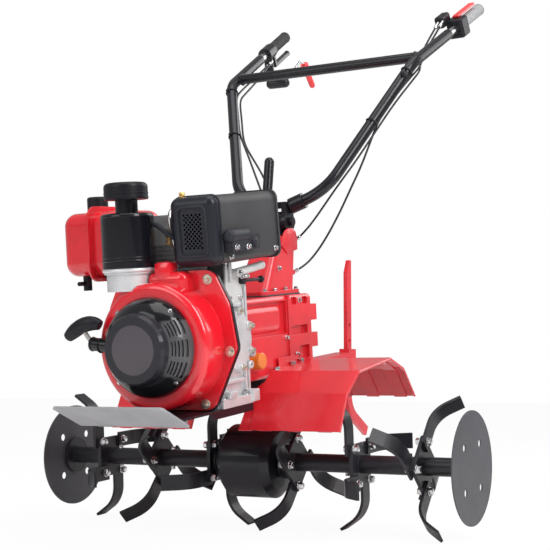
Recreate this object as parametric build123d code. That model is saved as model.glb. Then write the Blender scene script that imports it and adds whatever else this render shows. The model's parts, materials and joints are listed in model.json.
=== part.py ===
from build123d import *
import os
from math import atan2, cos, degrees, hypot, pi, radians, sin, tan

# A walking tractor: a small diesel engine and gearbox on two tine reels.
# Body coordinates have their origin on the tine axle: X forward, Y to the left, Z up.
# The body stands nose down on its tines, so body coordinates are turned before they are placed.

# Stance
body_pitch = 6.0
fit_gap = 0.3
running_gap = 0.05

# Tine reels
reel_tube_radius = 19.0
reel_tube_bore = 14.2
reel_start = 68.0
reel_hub_places = (96.0, 245.0, 386.0)
hub_side = 88.0
hub_thickness = 8.0
hub_bolt_radius = 50.0
tine_width = 33.0
tine_thickness = 6.0
tine_tail = 14.0
tine_straight = 38.0
tine_bend_radius = 62.0
tine_bend_angle = 56.0
tine_tip_length = 30.0
tine_sweep = 45.0
seal_ring_radius = 36.0
seal_ring_width = 5.0
seal_ring_pitch = 8.0
seal_ring_count = 3
axle_radius = 14.0
axle_half_length = 150.0

# Side discs
disc_radius = 114.0
disc_thickness = 3.0
disc_place = 487.0
disc_hole_radius = 8.0
disc_hole_circle = 62.0
disc_hole_count = 4
disc_flange_radius = 40.0
disc_flange_thickness = 6.0

# Final drive
drum_radius = 78.0
drum_half_width = 63.0
drum_rim = 14.0
neck_half_width = 29.0
neck_front = -30.0
neck_rear = -116.0

# Gearbox
gearbox_front = 150.0
gearbox_rear = -168.0
gearbox_half_width = 66.0
gearbox_bottom = 182.0
gearbox_height = 171.0
gearbox_wall = 10.0
gearbox_flange = 4.0
gearbox_flange_thickness = 9.0
gearbox_joint = -56.0
gearbox_rounding = 10.0
pocket_depth = 9.0
pocket_rounding = 4.0
clutch_pocket = (132.0, -44.0, 11.0, 72.0)
rear_pockets = (
    (-69.0, -94.0, 5.0, 17.0),
    (-120.0, -145.0, 6.0, 16.0),
    (-63.0, -142.0, 68.0, 20.0),
    (-98.0, -147.0, 113.0, 30.0),
)
clutch_bulge_rear = -34.0
clutch_bulge_inset = 1.0
clutch_bulge_rounding = 24.0
rear_lugs = ((25.0, 36.0), (89.0, 32.0))
rear_lug_length = 29.0
rear_lug_half_width = 62.0
gearbox_top = gearbox_bottom + gearbox_height

# Gear tower and handle bracket
tower_half_width = 40.0
tower_top_half_width = 31.0
tower_foot_front = 20.0
tower_foot_rear = -150.0
tower_foot_margin = 10.0
tower_foot_thickness = 11.0
tower_foot_rounding = 14.0
tower_wall = 14.0
tower_rounding = 16.0
tower_front = -8.0
tower_rear = -140.0
tower_height = 120.0
tower_top_front = -92.0
tower_top_rear = -178.0
tower_crown = 8.0
tower_foot_top = gearbox_top + tower_foot_thickness
tower_top = tower_foot_top + tower_height
pivot_x = -150.0
pivot_rise = 31.0
pivot_radius = 7.0
pivot_head_radius = 10.0
pivot_head_length = 9.0
bracket_radius = 24.0
bracket_half_width = 18.0
cable_stop_radius = 6.0
cable_stop_length = 34.0
lever_x = -102.0
lever_radius = 5.0
lever_grip_radius = 11.0
lever_collar_rise = 103.0
lever_collar_lean = 6.0
lever_top_rise = 166.0
lever_top_lean = 21.0
pivot_z = tower_top + pivot_rise

# Crankcase, cylinder and head
crank_z = 276.0
crankcase_rear = gearbox_front
crankcase_half_width = 80.0
crankcase_bottom = 148.0
crankcase_height = 248.0
crankcase_wall = 24.0
crankcase_rounding = 14.0
crankcase_top = crankcase_bottom + crankcase_height
side_cover_x = 209.0
side_cover_radius = 58.0
side_cover_height = 8.0
side_cover_bolts = 7
side_cover_boss_radius = 8.0
side_cover_boss_height = 4.0
crankcase_rib_places = (160.0, 282.0)
crankcase_rib_thickness = 7.0
crankcase_rib_height = 6.0
crankcase_foot_spread = 17.0
crankcase_foot_height = 17.0
crankcase_foot_setback = 16.0
cylinder_front = 282.0
cylinder_rear = 168.0
cylinder_left = 22.0
cylinder_right = -78.0
cylinder_height = 74.0
cylinder_inset = 10.0
head_height = 36.0
rocker_height = 24.0
rocker_inset = 8.0
rocker_rounding = 14.0
fin_thickness = 3.0
fin_pitch = 8.5
cylinder_top = crankcase_top + cylinder_height
head_top = cylinder_top + head_height
rocker_top = head_top + rocker_height

# Fan shroud and starter
backing_thickness = 8.0
backing_width = 22.0
backing_lip = 1.5
shroud_rear = 312.0
shroud_depth = 70.0
shroud_flange = 6.0
shroud_wall = 3.0
shroud_corner = 26.0
shroud_top_half = 104.0
shroud_top_rise = 142.0
shroud_shoulder_half = 137.0
shroud_shoulder_rise = 76.0
shroud_half_width = 150.0
shroud_hip_drop = 9.0
shroud_bottom_half = 92.0
shroud_bottom_drop = 126.0
dome_radius = 123.0
dome_rounding = 13.0
duct_left = 62.0
duct_right = -78.0
duct_depth = 38.0
duct_drop = 90.0
duct_rounding = 16.0
shroud_front = shroud_rear + shroud_depth
shroud_top = crank_z + shroud_top_rise
recoil_radius = 96.5
recoil_foot_width = 13.0
recoil_foot_height = 6.0
recoil_ring_radius = 69.0
recoil_ring_reach = 44.0
recoil_face_reach = 62.0
recoil_bulge = 5.0
recoil_wall = 3.0
recoil_ring_rounding = 6.0
badge_radius = 47.0
badge_thickness = 3.0
vent_rows = (27.0, 0.0, -27.0)
vent_row_span = 20.0
vent_count = 5
vent_first = 74.0
vent_pitch = 4.6
vent_width = 2.4
rope_boss_radius = 13.0
rope_stem_radius = 4.0
rope_grip_radius = 14.0
rope_boss_rise = 4.0
rope_boss_reach = 16.0
rope_eye_place = 122.0
rope_eye_rise = 10.0
rope_grip_reach = 24.0
rope_grip_near = 110.0
rope_grip_far = 168.0
rope_grip_near_rise = 50.0
rope_grip_far_rise = 38.0

# Air cleaner
air_x = 342.0
air_y = -68.0
air_seat_depth = 34.0
air_base_radius = 49.0
air_base_height = 45.0
air_base_waist = 45.0
air_base_rim = 12.0
air_duct_height = 6.0
air_duct_half_width = 17.0
air_can_radius = 52.0
air_can_height = 106.0
air_can_wall = 2.0
air_can_rounding = 7.0
air_neck_radius = 22.0
air_neck_height = 27.0
air_cap_radius = 43.0
air_cap_height = 33.0
air_cap_rounding = 9.0
air_base_bottom = shroud_top - air_seat_depth
air_can_bottom = air_base_bottom + air_base_height
air_can_top = air_can_bottom + air_can_height
air_cap_bottom = air_can_top + air_neck_height

# Fuel tank
tank_front = 263.0
tank_rear = 130.0
tank_left = -118.0
tank_right = -295.0
tank_stand = 20.0
tank_height = 132.0
tank_rounding = 28.0
tank_seam = -215.0
tank_seam_thickness = 4.0
tank_seam_lip = 12.0
tank_cap_radius = 22.0
tank_cap_gap = 4.0
tank_cap_height = 34.0
tank_cap_rounding = 5.0
tank_shelf_thickness = 5.0
tank_shelf_front_inset = 30.0
tank_shelf_rear_inset = 36.0
tank_wall = 1.5
tap_radius = 9.0
tap_length = 30.0
tap_inset = 34.0
tank_bottom = crankcase_top + tank_stand
tank_top = tank_bottom + tank_height

# Muffler
muffler_front = 346.0
muffler_rear = 80.0
muffler_left = 132.0
muffler_right = 30.0
muffler_stand = 37.0
muffler_height = 133.0
muffler_pitch = 3.5
muffler_rounding = 18.0
muffler_wall = 2.0
muffler_seam_place = 102.0
muffler_seam_width = 6.0
muffler_seam_lip = 3.0
muffler_leg_front = 240.0
muffler_leg_rear = 180.0
muffler_leg_left = 52.0
muffler_leg_thickness = 6.0
guard_thickness = 2.0
guard_left = 114.0
guard_right = 50.0
guard_inset = 19.0
guard_margin = 5.0
guard_hole_radius = 2.4
guard_hole_pitch = 9.0
outlet_front = 318.0
outlet_rear = 212.0
outlet_pipe_rear = 256.0
outlet_rise = 53.0
outlet_radius = 13.0
outlet_bore = 10.0
outlet_bore_depth = 40.0
outlet_box_drop = 31.0
outlet_box_depth = 20.0
elbow_radius = 15.0
muffler_bottom = crankcase_top + muffler_stand
muffler_top = muffler_bottom + muffler_height

# Speed control on the engine's left
control_plate_front = 236.0
control_plate_rear = 174.0
control_plate_bottom_drop = 48.0
control_plate_rise = 20.0
control_plate_thickness = 4.0
speed_lever_x = 205.0
speed_lever_rise = 13.0
speed_lever_radius = 8.5
speed_lever_length = 108.0
speed_lever_lift = 13.0
speed_lever_stand = 10.0
stop_lever_x = 178.0
stop_lever_drop = 3.0
stop_lever_radius = 3.5
stop_lever_length = 74.0
stop_knob_radius = 7.5
control_pin_radius = 8.0
oil_cap_x = 111.0
oil_cap_rise = 43.0
oil_cap_radius = 17.0
oil_cap_height = 24.0
oil_cap_rounding = 3.0

# Bed and bumper
bed_thickness = 4.0
bed_half_width = 96.0
bed_rear = 172.0
bed_front = 452.0
bed_skirt = 16.0
bed_skirt_front = 330.0
bumper_rear_x = 450.0
bumper_rear_z = 140.0
bumper_front_x = 535.0
bumper_front_z = 183.0
bumper_half_width = 121.0
bumper_thickness = 5.0
bumper_corner = 4.0
bumper_arm_length = 60.0
bumper_arm_width = 34.0
bumper_arm_place = 62.0

# Fenders
fender_profile = (
    (144.0, 87.0),
    (103.0, 157.0),
    (42.0, 196.0),
    (-119.0, 208.0),
    (-190.0, 179.0),
    (-246.0, 113.0),
)
fender_inner = gearbox_half_width + gearbox_flange
fender_outer = 272.0
fender_thickness = 2.5
fender_tab_height = 14.0
fender_tab_front_inset = 30.0
fender_tab_rear_inset = 20.0
fender_rib_count = 3
fender_rib_width = 30.0
fender_rib_height = 3.0

# Handlebar
handle_tube_radius = 13.0
handle_tube_wall = 2.4
handle_low_bend = (-22.0, 112.0, 65.0)
handle_low_bend_radius = 110.0
handle_high_bend = (-245.0, 245.0, 358.0)
handle_high_bend_radius = 90.0
handle_end_behind = 622.0
handle_end_half_width = 283.0
handle_end_rise = 534.0
handle_start_behind = 10.0
handle_start_half_width = 30.0
handle_start_rise = 35.0
handle_socket_wall = 5.0
handle_socket_length = 34.0
clamp_plate_thickness = 11.7
clamp_bridge_bottom = 31.0
clamp_bridge_top = 45.0
clamp_bridge_front = 16.0
clamp_bridge_rear = 20.0
cross_tube_radius = 12.5
cross_tube_place = 46.0
handle_bare_length = 205.0
grip_bar_radius = 10.5
grip_bar_overlap = 40.0
grip_bar_bore = 8.0
grip_length = 118.0
grip_thickness = 4.0
handle_tilt_up = 15.0
handle_tilt_down = 15.0

# Hand controls, placed back from a handle's end, inwards and up from its middle
throttle_near = 119.0
throttle_far = 164.0
throttle_half_width = 22.0
throttle_up = 22.0
throttle_down = 26.0
throttle_rounding = 7.0
throttle_lobe_far = 192.0
throttle_lobe_inner = 36.0
throttle_lobe_outer = 12.0
throttle_lobe_up = 42.0
throttle_lobe_down = 12.0
throttle_lever_length = 84.0
throttle_lever_width = 17.0
throttle_lever_thickness = 7.0
throttle_lever_root = 24.0
perch_near = 122.0
perch_far = 168.0
perch_radius = 19.0
perch_post_drop = 80.0
perch_post_radius = 12.0
perch_arm_reach = 40.0
perch_arm_radius = 13.0
clutch_lever_gap = 24.0
clutch_lever_depth = 9.0
clutch_lever_half_width = 7.0
clutch_lever_end = 12.0
clutch_ball_radius = 8.0
side_lever_radius = 3.0
side_sleeve_radius = 8.0
side_collar_radius = 11.0
side_collar_length = 8.0
side_lever_bend = (118.0, 75.0, -41.0)
side_lever_collar = (96.0, 77.0, -57.0)
side_lever_end = (64.0, 75.0, -126.0)

# Control cables, as routes of (x, y, z) points from the controls down to the gear tower
cable_radius = 2.5
cable_routes = (
    (
        (-586, 250, 992), (-556, 240, 957), (-500, 234, 910), (-447, 243, 870), (-403, 238, 845),
        (-362, 211, 797), (-320, 185, 742), (-298, 170, 688), (-281, 152, 634), (-268, 130, 586),
        (-258, 106, 536), (-246, 78, 484), (-226, 54, 441), (-196, 36, 412), (-166, 25, 402),
    ),
    (
        (-586, 238, 990), (-552, 226, 950), (-498, 222, 899), (-440, 247, 862), (-398, 246, 838),
        (-345, 215, 778), (-290, 182, 704), (-243, 154, 641), (-209, 131, 597), (-196, 103, 557),
        (-194, 74, 522), (-192, 47, 493), (-183, 25, 472),
    ),
    (
        (-632, -263, 955), (-570, -258, 925), (-508, -252, 895), (-449, -246, 868), (-404, -239, 845),
        (-364, -212, 795), (-324, -188, 744), (-297, -162, 712), (-269, -135, 680), (-242, -107, 641),
        (-220, -80, 598), (-212, -60, 553), (-204, -41, 510), (-184, -25, 481),
    ),
    (
        (-626, -252, 960), (-566, -245, 922), (-504, -238, 889), (-447, -234, 858), (-404, -229, 836),
        (-368, -205, 785), (-333, -184, 733), (-312, -164, 706), (-295, -140, 680), (-281, -117, 654),
        (-268, -95, 626), (-256, -72, 583), (-245, -54, 536), (-232, -42, 488), (-213, -33, 444),
        (-190, -28, 413), (-166, -25, 402),
    ),
)

# Drag stake and hitch, upright on the floor
stake_width = 24.0
stake_thickness = 10.0
stake_x = -458.0
stake_top = 472.0
stake_taper_height = 32.0
stake_taper_depth = 14.0
stake_bend_start = 141.0
stake_bend_radius = 70.0
stake_bend_angle = 62.0
stake_tip_length = 75.0
stake_hole_radius = 4.5
stake_hole_pitch = 39.0
stake_hole_count = 2
stake_hole_rise = 21.0
stake_travel_down = 150.0
stake_travel_up = 50.0
socket_bottom = 198.0
socket_height = 52.0
socket_wall = 8.0
hitch_plate_thickness = 12.0
hitch_plate_half_width = 52.0
hitch_plate_height = 62.0
hitch_drop = 18.0
hitch_arm_height = 30.0
hitch_arm_half_width = 25.0
hitch_arm_wall = 6.0
hitch_pin_radius = 8.2
hitch_pin_behind = 90.0


# Where the lowest tine tips meet the floor, in the reel's own plane
tine_reach = (
    tine_straight
    + (tine_bend_radius + tine_thickness / 2) * sin(radians(tine_bend_angle))
    + tine_tip_length * cos(radians(tine_bend_angle))
)


def tine_corner(corner_angle, side):
    """One corner of a tine's tip, as (x, z), for a hub corner at this angle."""
    heading = radians(corner_angle + tine_sweep)
    start = radians(corner_angle)
    x = hub_bolt_radius * cos(start) + tine_reach * cos(heading) - side * tine_width / 2 * sin(heading)
    z = hub_bolt_radius * sin(start) + tine_reach * sin(heading) + side * tine_width / 2 * cos(heading)
    return x, z


front_foot = tine_corner(-90.0, -1)
rear_foot = tine_corner(-135.0, 1)
reel_turn = degrees(atan2(front_foot[1] - rear_foot[1], front_foot[0] - rear_foot[0]))
axle_height = front_foot[0] * sin(radians(reel_turn)) - front_foot[1] * cos(radians(reel_turn))


def pitched(point):
    """A body point (x, y, z) as it stands, from the axle."""
    turn = radians(body_pitch)
    x, y, z = point
    return x * cos(turn) + z * sin(turn), y, z * cos(turn) - x * sin(turn)


def unpitched(point):
    """An upright point (x, y, z) from the axle, in body coordinates."""
    turn = radians(body_pitch)
    x, y, z = point
    return x * cos(turn) - z * sin(turn), y, z * cos(turn) + x * sin(turn)


handle_end_x = pivot_x - handle_end_behind
handle_end_z = pivot_z + handle_end_rise
front_end = pitched((bumper_front_x, 0.0, bumper_front_z))[0]
rear_end = pitched((handle_end_x, 0.0, handle_end_z))[0] - grip_bar_radius - grip_thickness
axle_x = -(front_end + rear_end) / 2


def on_floor(shape):
    """Place a shape that is upright, with the axle as its origin."""
    return Pos(axle_x, 0, axle_height) * shape


def on_body(shape):
    """Place a shape in body coordinates."""
    return on_floor(Rot(0, body_pitch, 0) * shape)


def slab(front, rear, left, right, top, bottom):
    """A plain box between six faces."""
    middle = Pos((front + rear) / 2, (left + right) / 2, (top + bottom) / 2)
    return middle * Box(front - rear, left - right, top - bottom)


def rounded(shape, radius):
    """A box with every edge rounded."""
    return fillet(shape.edges(), radius)


def rod(start, end, radius):
    """A round bar between two points."""
    axis = Vector(*end) - Vector(*start)
    return Plane(origin=start, z_dir=axis) * Cylinder(
        radius, axis.length, align=(Align.CENTER, Align.CENTER, Align.MIN)
    )


def cross_rod(x, z, radius, left, right):
    """A round bar that lies across the machine."""
    return rod((x, right, z), (x, left, z), radius)


def post(x, y, bottom, top, radius):
    """A round bar that stands upright."""
    return rod((x, y, bottom), (x, y, top), radius)


def turned(points, axis):
    """A solid turned from a closed outline in the XZ plane."""
    return revolve(Plane.XZ * make_face(Polyline(*points, close=True)), axis)


def plate(points, left, right):
    """A flat plate from an outline of (x, z) points, between two widths."""
    face = Plane.XZ.offset(-right) * make_face(Polyline(*points, close=True))
    return extrude(face, -(left - right))


def both_sides(shape):
    """A shape and its mirror image on the other side of the machine."""
    return shape + mirror(shape, Plane.XZ)


def mitred(points, gap):
    """The same open outline, moved to its right by a gap."""
    moved = []
    for i, (x, z) in enumerate(points):
        before = points[max(i - 1, 0)]
        after = points[min(i + 1, len(points) - 1)]
        first = (x - before[0], z - before[1]) if i > 0 else (after[0] - x, after[1] - z)
        second = (after[0] - x, after[1] - z) if i < len(points) - 1 else first
        normals = []
        for dx, dz in (first, second):
            length = hypot(dx, dz)
            normals.append((dz / length, -dx / length))
        mean = (normals[0][0] + normals[1][0], normals[0][1] + normals[1][1])
        scale = 2 * gap / (mean[0] ** 2 + mean[1] ** 2)
        moved.append((x + mean[0] * scale, z + mean[1] * scale))
    return moved


# Tine reels and side discs


def tine(corner_angle, hub_y, bend):
    """One bent tine on a hub corner; bend is 1 towards the left and -1 towards the right."""
    start = radians(corner_angle)
    heading = radians(corner_angle + tine_sweep)
    along = Vector(cos(heading), 0, sin(heading))
    aside = Vector(0, bend, 0)
    bolt = (hub_bolt_radius * cos(start), hub_y + bend * hub_thickness / 2, hub_bolt_radius * sin(start))
    inner = tine_bend_radius - tine_thickness / 2
    outer = tine_bend_radius + tine_thickness / 2
    centre_height = tine_thickness + inner

    def on_bend(radius, angle, further):
        turn = radians(angle)
        x = tine_straight + radius * sin(turn) + further * cos(turn)
        return x, centre_height - radius * cos(turn) + further * sin(turn)

    half = tine_bend_angle / 2
    outline = [
        Polyline(
            (tine_straight, tine_thickness), (-tine_tail, tine_thickness), (-tine_tail, 0), (tine_straight, 0)
        ),
        ThreePointArc((tine_straight, 0), on_bend(outer, half, 0), on_bend(outer, tine_bend_angle, 0)),
        Polyline(
            on_bend(outer, tine_bend_angle, 0),
            on_bend(outer, tine_bend_angle, tine_tip_length),
            on_bend(inner, tine_bend_angle, tine_tip_length),
            on_bend(inner, tine_bend_angle, 0),
        ),
        ThreePointArc(
            on_bend(inner, tine_bend_angle, 0), on_bend(inner, half, 0), (tine_straight, tine_thickness)
        ),
    ]
    face = Plane(origin=bolt, x_dir=along, z_dir=along.cross(aside)) * make_face(outline)
    return extrude(face, tine_width / 2, both=True)


def reel(side, first_is_diamond, bends):
    """A tube with three hub plates and twelve tines; side is 1 on the left."""
    far_end = disc_place - disc_flange_thickness
    tube = cross_rod(0, 0, reel_tube_radius, far_end, reel_start)
    for i in range(seal_ring_count):
        ring = reel_start + i * seal_ring_pitch
        tube += cross_rod(0, 0, seal_ring_radius, ring + seal_ring_width, ring)
    tube += cross_rod(0, 0, disc_flange_radius, disc_place, far_end)
    tube = tube if side > 0 else mirror(tube, Plane.XZ)
    for i, place in enumerate(reel_hub_places):
        diamond = first_is_diamond if i != 1 else not first_is_diamond
        turn = 0 if diamond else 45
        hub = Pos(0, side * place, 0) * Rot(0, 45 - turn, 0) * Box(hub_side, hub_thickness, hub_side)
        tube += hub
        lowest = -90 if diamond else -135
        for corner in range(4):
            bend = bends[i] * side if corner % 2 == 0 else -bends[i] * side
            tube += tine(lowest + 90 * corner, side * place, bend)
    bore = cross_rod(0, 0, reel_tube_bore, axle_half_length + fit_gap, -axle_half_length - fit_gap)
    return on_floor(Rot(0, reel_turn, 0) * (tube - bore))


def side_disc(side):
    """A flat disc that keeps the tines off standing plants."""
    near = disc_place + fit_gap
    disc = cross_rod(0, 0, disc_radius, near + disc_thickness, near)
    for i in range(disc_hole_count):
        angle = radians((i + 0.5) * 360 / disc_hole_count)
        x = disc_hole_circle * cos(angle)
        z = disc_hole_circle * sin(angle)
        disc -= cross_rod(x, z, disc_hole_radius, near + disc_thickness, near)
    disc = disc if side > 0 else mirror(disc, Plane.XZ)
    return on_floor(Rot(0, reel_turn, 0) * disc)


def axle_shaft():
    """The output shaft that carries both reels."""
    return on_floor(cross_rod(0, 0, axle_radius, axle_half_length, -axle_half_length))


# Gearbox and gear tower


def final_drive():
    """A drum round the axle with a flat neck up to the gearbox."""
    outline = (
        (0, -drum_half_width),
        (drum_radius - drum_rim, -drum_half_width),
        (drum_radius, -drum_half_width + drum_rim),
        (drum_radius, drum_half_width - drum_rim),
        (drum_radius - drum_rim, drum_half_width),
        (0, drum_half_width),
    )
    drum = Rot(90, 0, 0) * turned(outline, Axis.Z)
    neck = slab(neck_front, neck_rear, neck_half_width, -neck_half_width, gearbox_bottom, 0)
    case = drum + neck
    case -= cross_rod(0, 0, axle_radius + running_gap, drum_half_width, -drum_half_width)
    return on_body(case)


def gearbox_pocket(front, rear, drop, height):
    """A shallow hollow in the gearbox's left side."""
    wide = gearbox_half_width
    top = gearbox_top - drop
    hollow = slab(front, rear, wide + pocket_depth, wide - pocket_depth, top, top - height)
    return fillet(hollow.edges().filter_by(Axis.Y), pocket_rounding)


def gearbox():
    """A casting in two halves, with hollows in its sides and lugs at its rear."""
    wide = gearbox_half_width
    case = slab(gearbox_front, gearbox_rear, wide, -wide, gearbox_top, gearbox_bottom)
    case = rounded(case, gearbox_rounding)
    for place in (gearbox_front - gearbox_flange_thickness, gearbox_joint):
        out = wide + gearbox_flange
        flange = slab(
            place + gearbox_flange_thickness, place, out, -out, gearbox_top, gearbox_bottom + gearbox_rounding
        )
        case += flange
    for pocket in (clutch_pocket,) + rear_pockets:
        case -= both_sides(gearbox_pocket(*pocket))
    front, _, drop, height = clutch_pocket
    bulge = slab(
        gearbox_front - gearbox_flange_thickness / 2,
        clutch_bulge_rear,
        wide - clutch_bulge_inset,
        -wide + clutch_bulge_inset,
        gearbox_top - drop - clutch_bulge_inset,
        gearbox_top - drop - height + clutch_bulge_inset,
    )
    rear_edges = bulge.faces().sort_by(Axis.X)[0].edges()
    case += fillet(bulge.edges().filter_by(Axis.X) + rear_edges, clutch_bulge_rounding)
    for drop, height in rear_lugs:
        high = gearbox_top - drop
        case += slab(
            gearbox_rear + gearbox_wall,
            gearbox_rear - rear_lug_length,
            rear_lug_half_width,
            -rear_lug_half_width,
            high,
            high - height,
        )
    inside = wide - pocket_depth - gearbox_wall
    thick = gearbox_wall + gearbox_flange
    case -= slab(
        gearbox_front - thick,
        gearbox_rear + thick,
        inside,
        -inside,
        gearbox_top - thick,
        gearbox_bottom + thick,
    )
    return on_body(case)


def tower_section(height, inset):
    """The tower's rounded outline at a height over its foot, drawn in by an inset."""
    share = height / tower_height
    front = tower_front + (tower_top_front - tower_front) * share - inset
    rear = tower_rear + (tower_top_rear - tower_rear) * share + inset
    half = tower_half_width + (tower_top_half_width - tower_half_width) * share - inset
    outline = RectangleRounded(front - rear, 2 * half, max(tower_rounding - inset, half / 8))
    return Plane.XY.offset(tower_foot_top + height) * Pos((front + rear) / 2, 0) * outline


def cable_stop(route):
    """A stop on the tower for the end of one cable."""
    end, before = (Vector(*p) for p in reversed(route[-2:]))
    heading = (end - before).normalized()
    near = end + heading * fit_gap
    return rod(tuple(near), tuple(near + heading * cable_stop_length), cable_stop_radius)


def gear_tower():
    """The shift housing that rises from the gearbox to the handle bracket."""
    out = tower_half_width + tower_foot_margin
    foot = slab(tower_foot_front, tower_foot_rear, out, -out, tower_foot_top, gearbox_top)
    tower = fillet(foot.edges().filter_by(Axis.Z), tower_foot_rounding)
    shoulder = tower_height - tower_crown
    tower += loft([tower_section(0, 0), tower_section(shoulder, 0)], ruled=True)
    tower += loft([tower_section(shoulder, 0), tower_section(tower_height, tower_crown / 2)], ruled=True)
    room = loft([tower_section(0, tower_wall), tower_section(shoulder - tower_wall, tower_wall)], ruled=True)
    for route in cable_routes:
        tower += cable_stop(route)
    return on_body(tower - room)


def handle_bracket():
    """The block on the tower with the pin that the handlebar tilts on."""
    wide = bracket_half_width
    block = cross_rod(pivot_x, pivot_z, bracket_radius, wide, -wide)
    block += slab(pivot_x + bracket_radius, pivot_x - bracket_radius, wide, -wide, pivot_z, tower_top)
    head = wide + fit_gap + clamp_plate_thickness + fit_gap
    far = head + pivot_head_length
    block += cross_rod(pivot_x, pivot_z, pivot_radius, far, -far)
    block += both_sides(cross_rod(pivot_x, pivot_z, pivot_head_radius, far, head))
    return on_body(block)


def shift_lever():
    """A thin rod with a fat grip, in front of the handle bracket."""
    foot = (lever_x, 0.0, tower_top)
    collar = (lever_x - lever_collar_lean, 0.0, tower_top + lever_collar_rise)
    top = (lever_x - lever_top_lean, 0.0, tower_top + lever_top_rise)
    seat = slab(
        lever_x + lever_grip_radius,
        lever_x - lever_grip_radius,
        lever_grip_radius,
        -lever_grip_radius,
        tower_top + lever_grip_radius,
        tower_top,
    )
    lever = seat + rod(foot, collar, lever_radius) + rod(collar, top, lever_grip_radius)
    lever += Pos(*top) * Sphere(lever_grip_radius)
    grip = lever_grip_radius
    return on_body(lever - slab(lever_x + grip, lever_x - grip, grip, -grip, tower_top, gearbox_top))


# Engine


def shroud_face(x, grow):
    """The shroud's flange outline at a place along the machine, grown by a lip."""
    half = (
        (shroud_top_half, shroud_top_rise),
        (shroud_shoulder_half, shroud_shoulder_rise),
        (shroud_half_width, -shroud_hip_drop),
        (shroud_bottom_half, -shroud_bottom_drop),
    )
    points = list(half) + [(-y, z) for y, z in reversed(half)]
    face = make_face(Polyline(*points, close=True))
    face = offset(face, grow, kind=Kind.INTERSECTION) if grow else face
    return Plane.YZ.offset(x) * Pos(0, crank_z) * fillet(face.vertices(), shroud_corner)


def dome(rear, front, radius, rounding):
    """A drum round the crank axis with a rounded front edge."""
    face = make_face(Polyline((rear, 0), (rear, radius), (front, radius), (front, 0), close=True))
    rim = face.vertices().sort_by(Axis.Y)[-2:].sort_by(Axis.X)[-1]
    return Pos(0, 0, crank_z) * revolve(Plane.XZ * fillet(rim, rounding), Axis.X)


def duct(inset):
    """The block that leads cooling air up from the fan, drawn in by an inset."""
    block = slab(
        shroud_rear + duct_depth - inset,
        shroud_rear - duct_rounding,
        duct_left - inset,
        duct_right + inset,
        shroud_top - inset,
        shroud_top - duct_drop,
    )
    block = rounded(block, duct_rounding - inset)
    tall = 2 * shroud_top
    return block & slab(shroud_front, shroud_rear, tall, -tall, tall, 0)


def fan_shroud():
    """The drawn cowl round the fan, open at the back and round the starter."""
    wall = shroud_wall
    cowl = extrude(shroud_face(shroud_rear, 0), shroud_flange)
    cowl += dome(shroud_rear, shroud_front, dome_radius, dome_rounding) + duct(0)
    cowl -= dome(shroud_rear, shroud_front - wall, dome_radius - wall, dome_rounding - wall)
    cowl -= duct(wall)
    mouth = recoil_radius - recoil_foot_width
    cowl -= rod((shroud_front - 2 * wall, 0, crank_z), (shroud_front + wall, 0, crank_z), mouth)
    return on_body(cowl - air_seat())


def air_seat():
    """The round room that the air cleaner's base stands in."""
    return post(air_x, air_y, air_base_bottom, 2 * shroud_top, air_base_radius + fit_gap)


def shroud_backing():
    """The dark rim between the cowl and the crankcase."""
    rear = shroud_rear - backing_thickness
    rim = extrude(shroud_face(rear, backing_lip), backing_thickness)
    rim -= extrude(shroud_face(rear, -backing_width), backing_thickness)
    return on_body(rim - air_seat())


def vent(radius, middle):
    """One curved slot through the starter's bell."""
    inner = radius - vent_width / 2
    outer = radius + vent_width / 2
    upright = 90
    first = upright - vent_row_span / 2
    last = upright + vent_row_span / 2

    def at(distance, angle):
        return distance * cos(radians(angle)), distance * sin(radians(angle))

    outline = [
        CenterArc((0, 0), outer, first, vent_row_span),
        Line(at(outer, last), at(inner, last)),
        CenterArc((0, 0), inner, last, -vent_row_span),
        Line(at(inner, first), at(outer, first)),
    ]
    face = Plane.YZ.offset(shroud_front + recoil_foot_height) * make_face(outline)
    return Pos(0, 0, crank_z) * Rot(middle - upright, 0, 0) * extrude(face, recoil_face_reach)


def recoil_starter():
    """The bell that holds the starter rope, with vents on its left."""
    base = shroud_front
    ring = base + recoil_ring_reach
    face = base + recoil_face_reach
    wall = recoil_wall
    low = (base + recoil_foot_height, recoil_radius)
    high = (ring, recoil_ring_radius)
    length = hypot(high[0] - low[0], high[1] - low[1])
    out = ((low[1] - high[1]) / length, (high[0] - low[0]) / length)
    middle = ((low[0] + high[0]) / 2 + out[0] * recoil_bulge, (low[1] + high[1]) / 2 + out[1] * recoil_bulge)
    inner_middle = (middle[0] - out[0] * wall, middle[1] - out[1] * wall)
    recess = face - badge_thickness
    round_off = recoil_ring_rounding
    inside = [
        (recess, 0),
        (recess - wall, 0),
        (recess - wall, recoil_ring_radius - 2 * wall),
        (ring - wall, recoil_ring_radius - wall),
        inner_middle,
        (low[0] - wall / 2, recoil_radius - wall),
        (low[0] - wall / 2, recoil_radius - recoil_foot_width),
        (base, recoil_radius - recoil_foot_width),
        (base, recoil_radius),
        low,
    ]
    outside = [
        high,
        (face - round_off, recoil_ring_radius - wall / 2),
        (face, recoil_ring_radius - round_off),
        (face, badge_radius + fit_gap),
        (recess, badge_radius + fit_gap),
        (recess, 0),
    ]
    outline = [Polyline(*inside), ThreePointArc(low, middle, high), Polyline(*outside)]
    bell = Pos(0, 0, crank_z) * revolve(Plane.XZ * make_face(outline), Axis.X)
    for row in vent_rows:
        for i in range(vent_count):
            bell -= vent(vent_first + i * vent_pitch, row)
    return on_body(bell + rope_boss())


def rope_eye():
    """Where the starter rope comes out of its boss."""
    return shroud_front + rope_boss_reach, -rope_eye_place, crank_z + rope_eye_rise


def rope_boss():
    """The boss on the bell's right that the rope comes out of."""
    root = (shroud_front + rope_boss_reach, -recoil_ring_radius, crank_z + rope_boss_rise)
    return rod(root, rope_eye(), rope_boss_radius)


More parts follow.
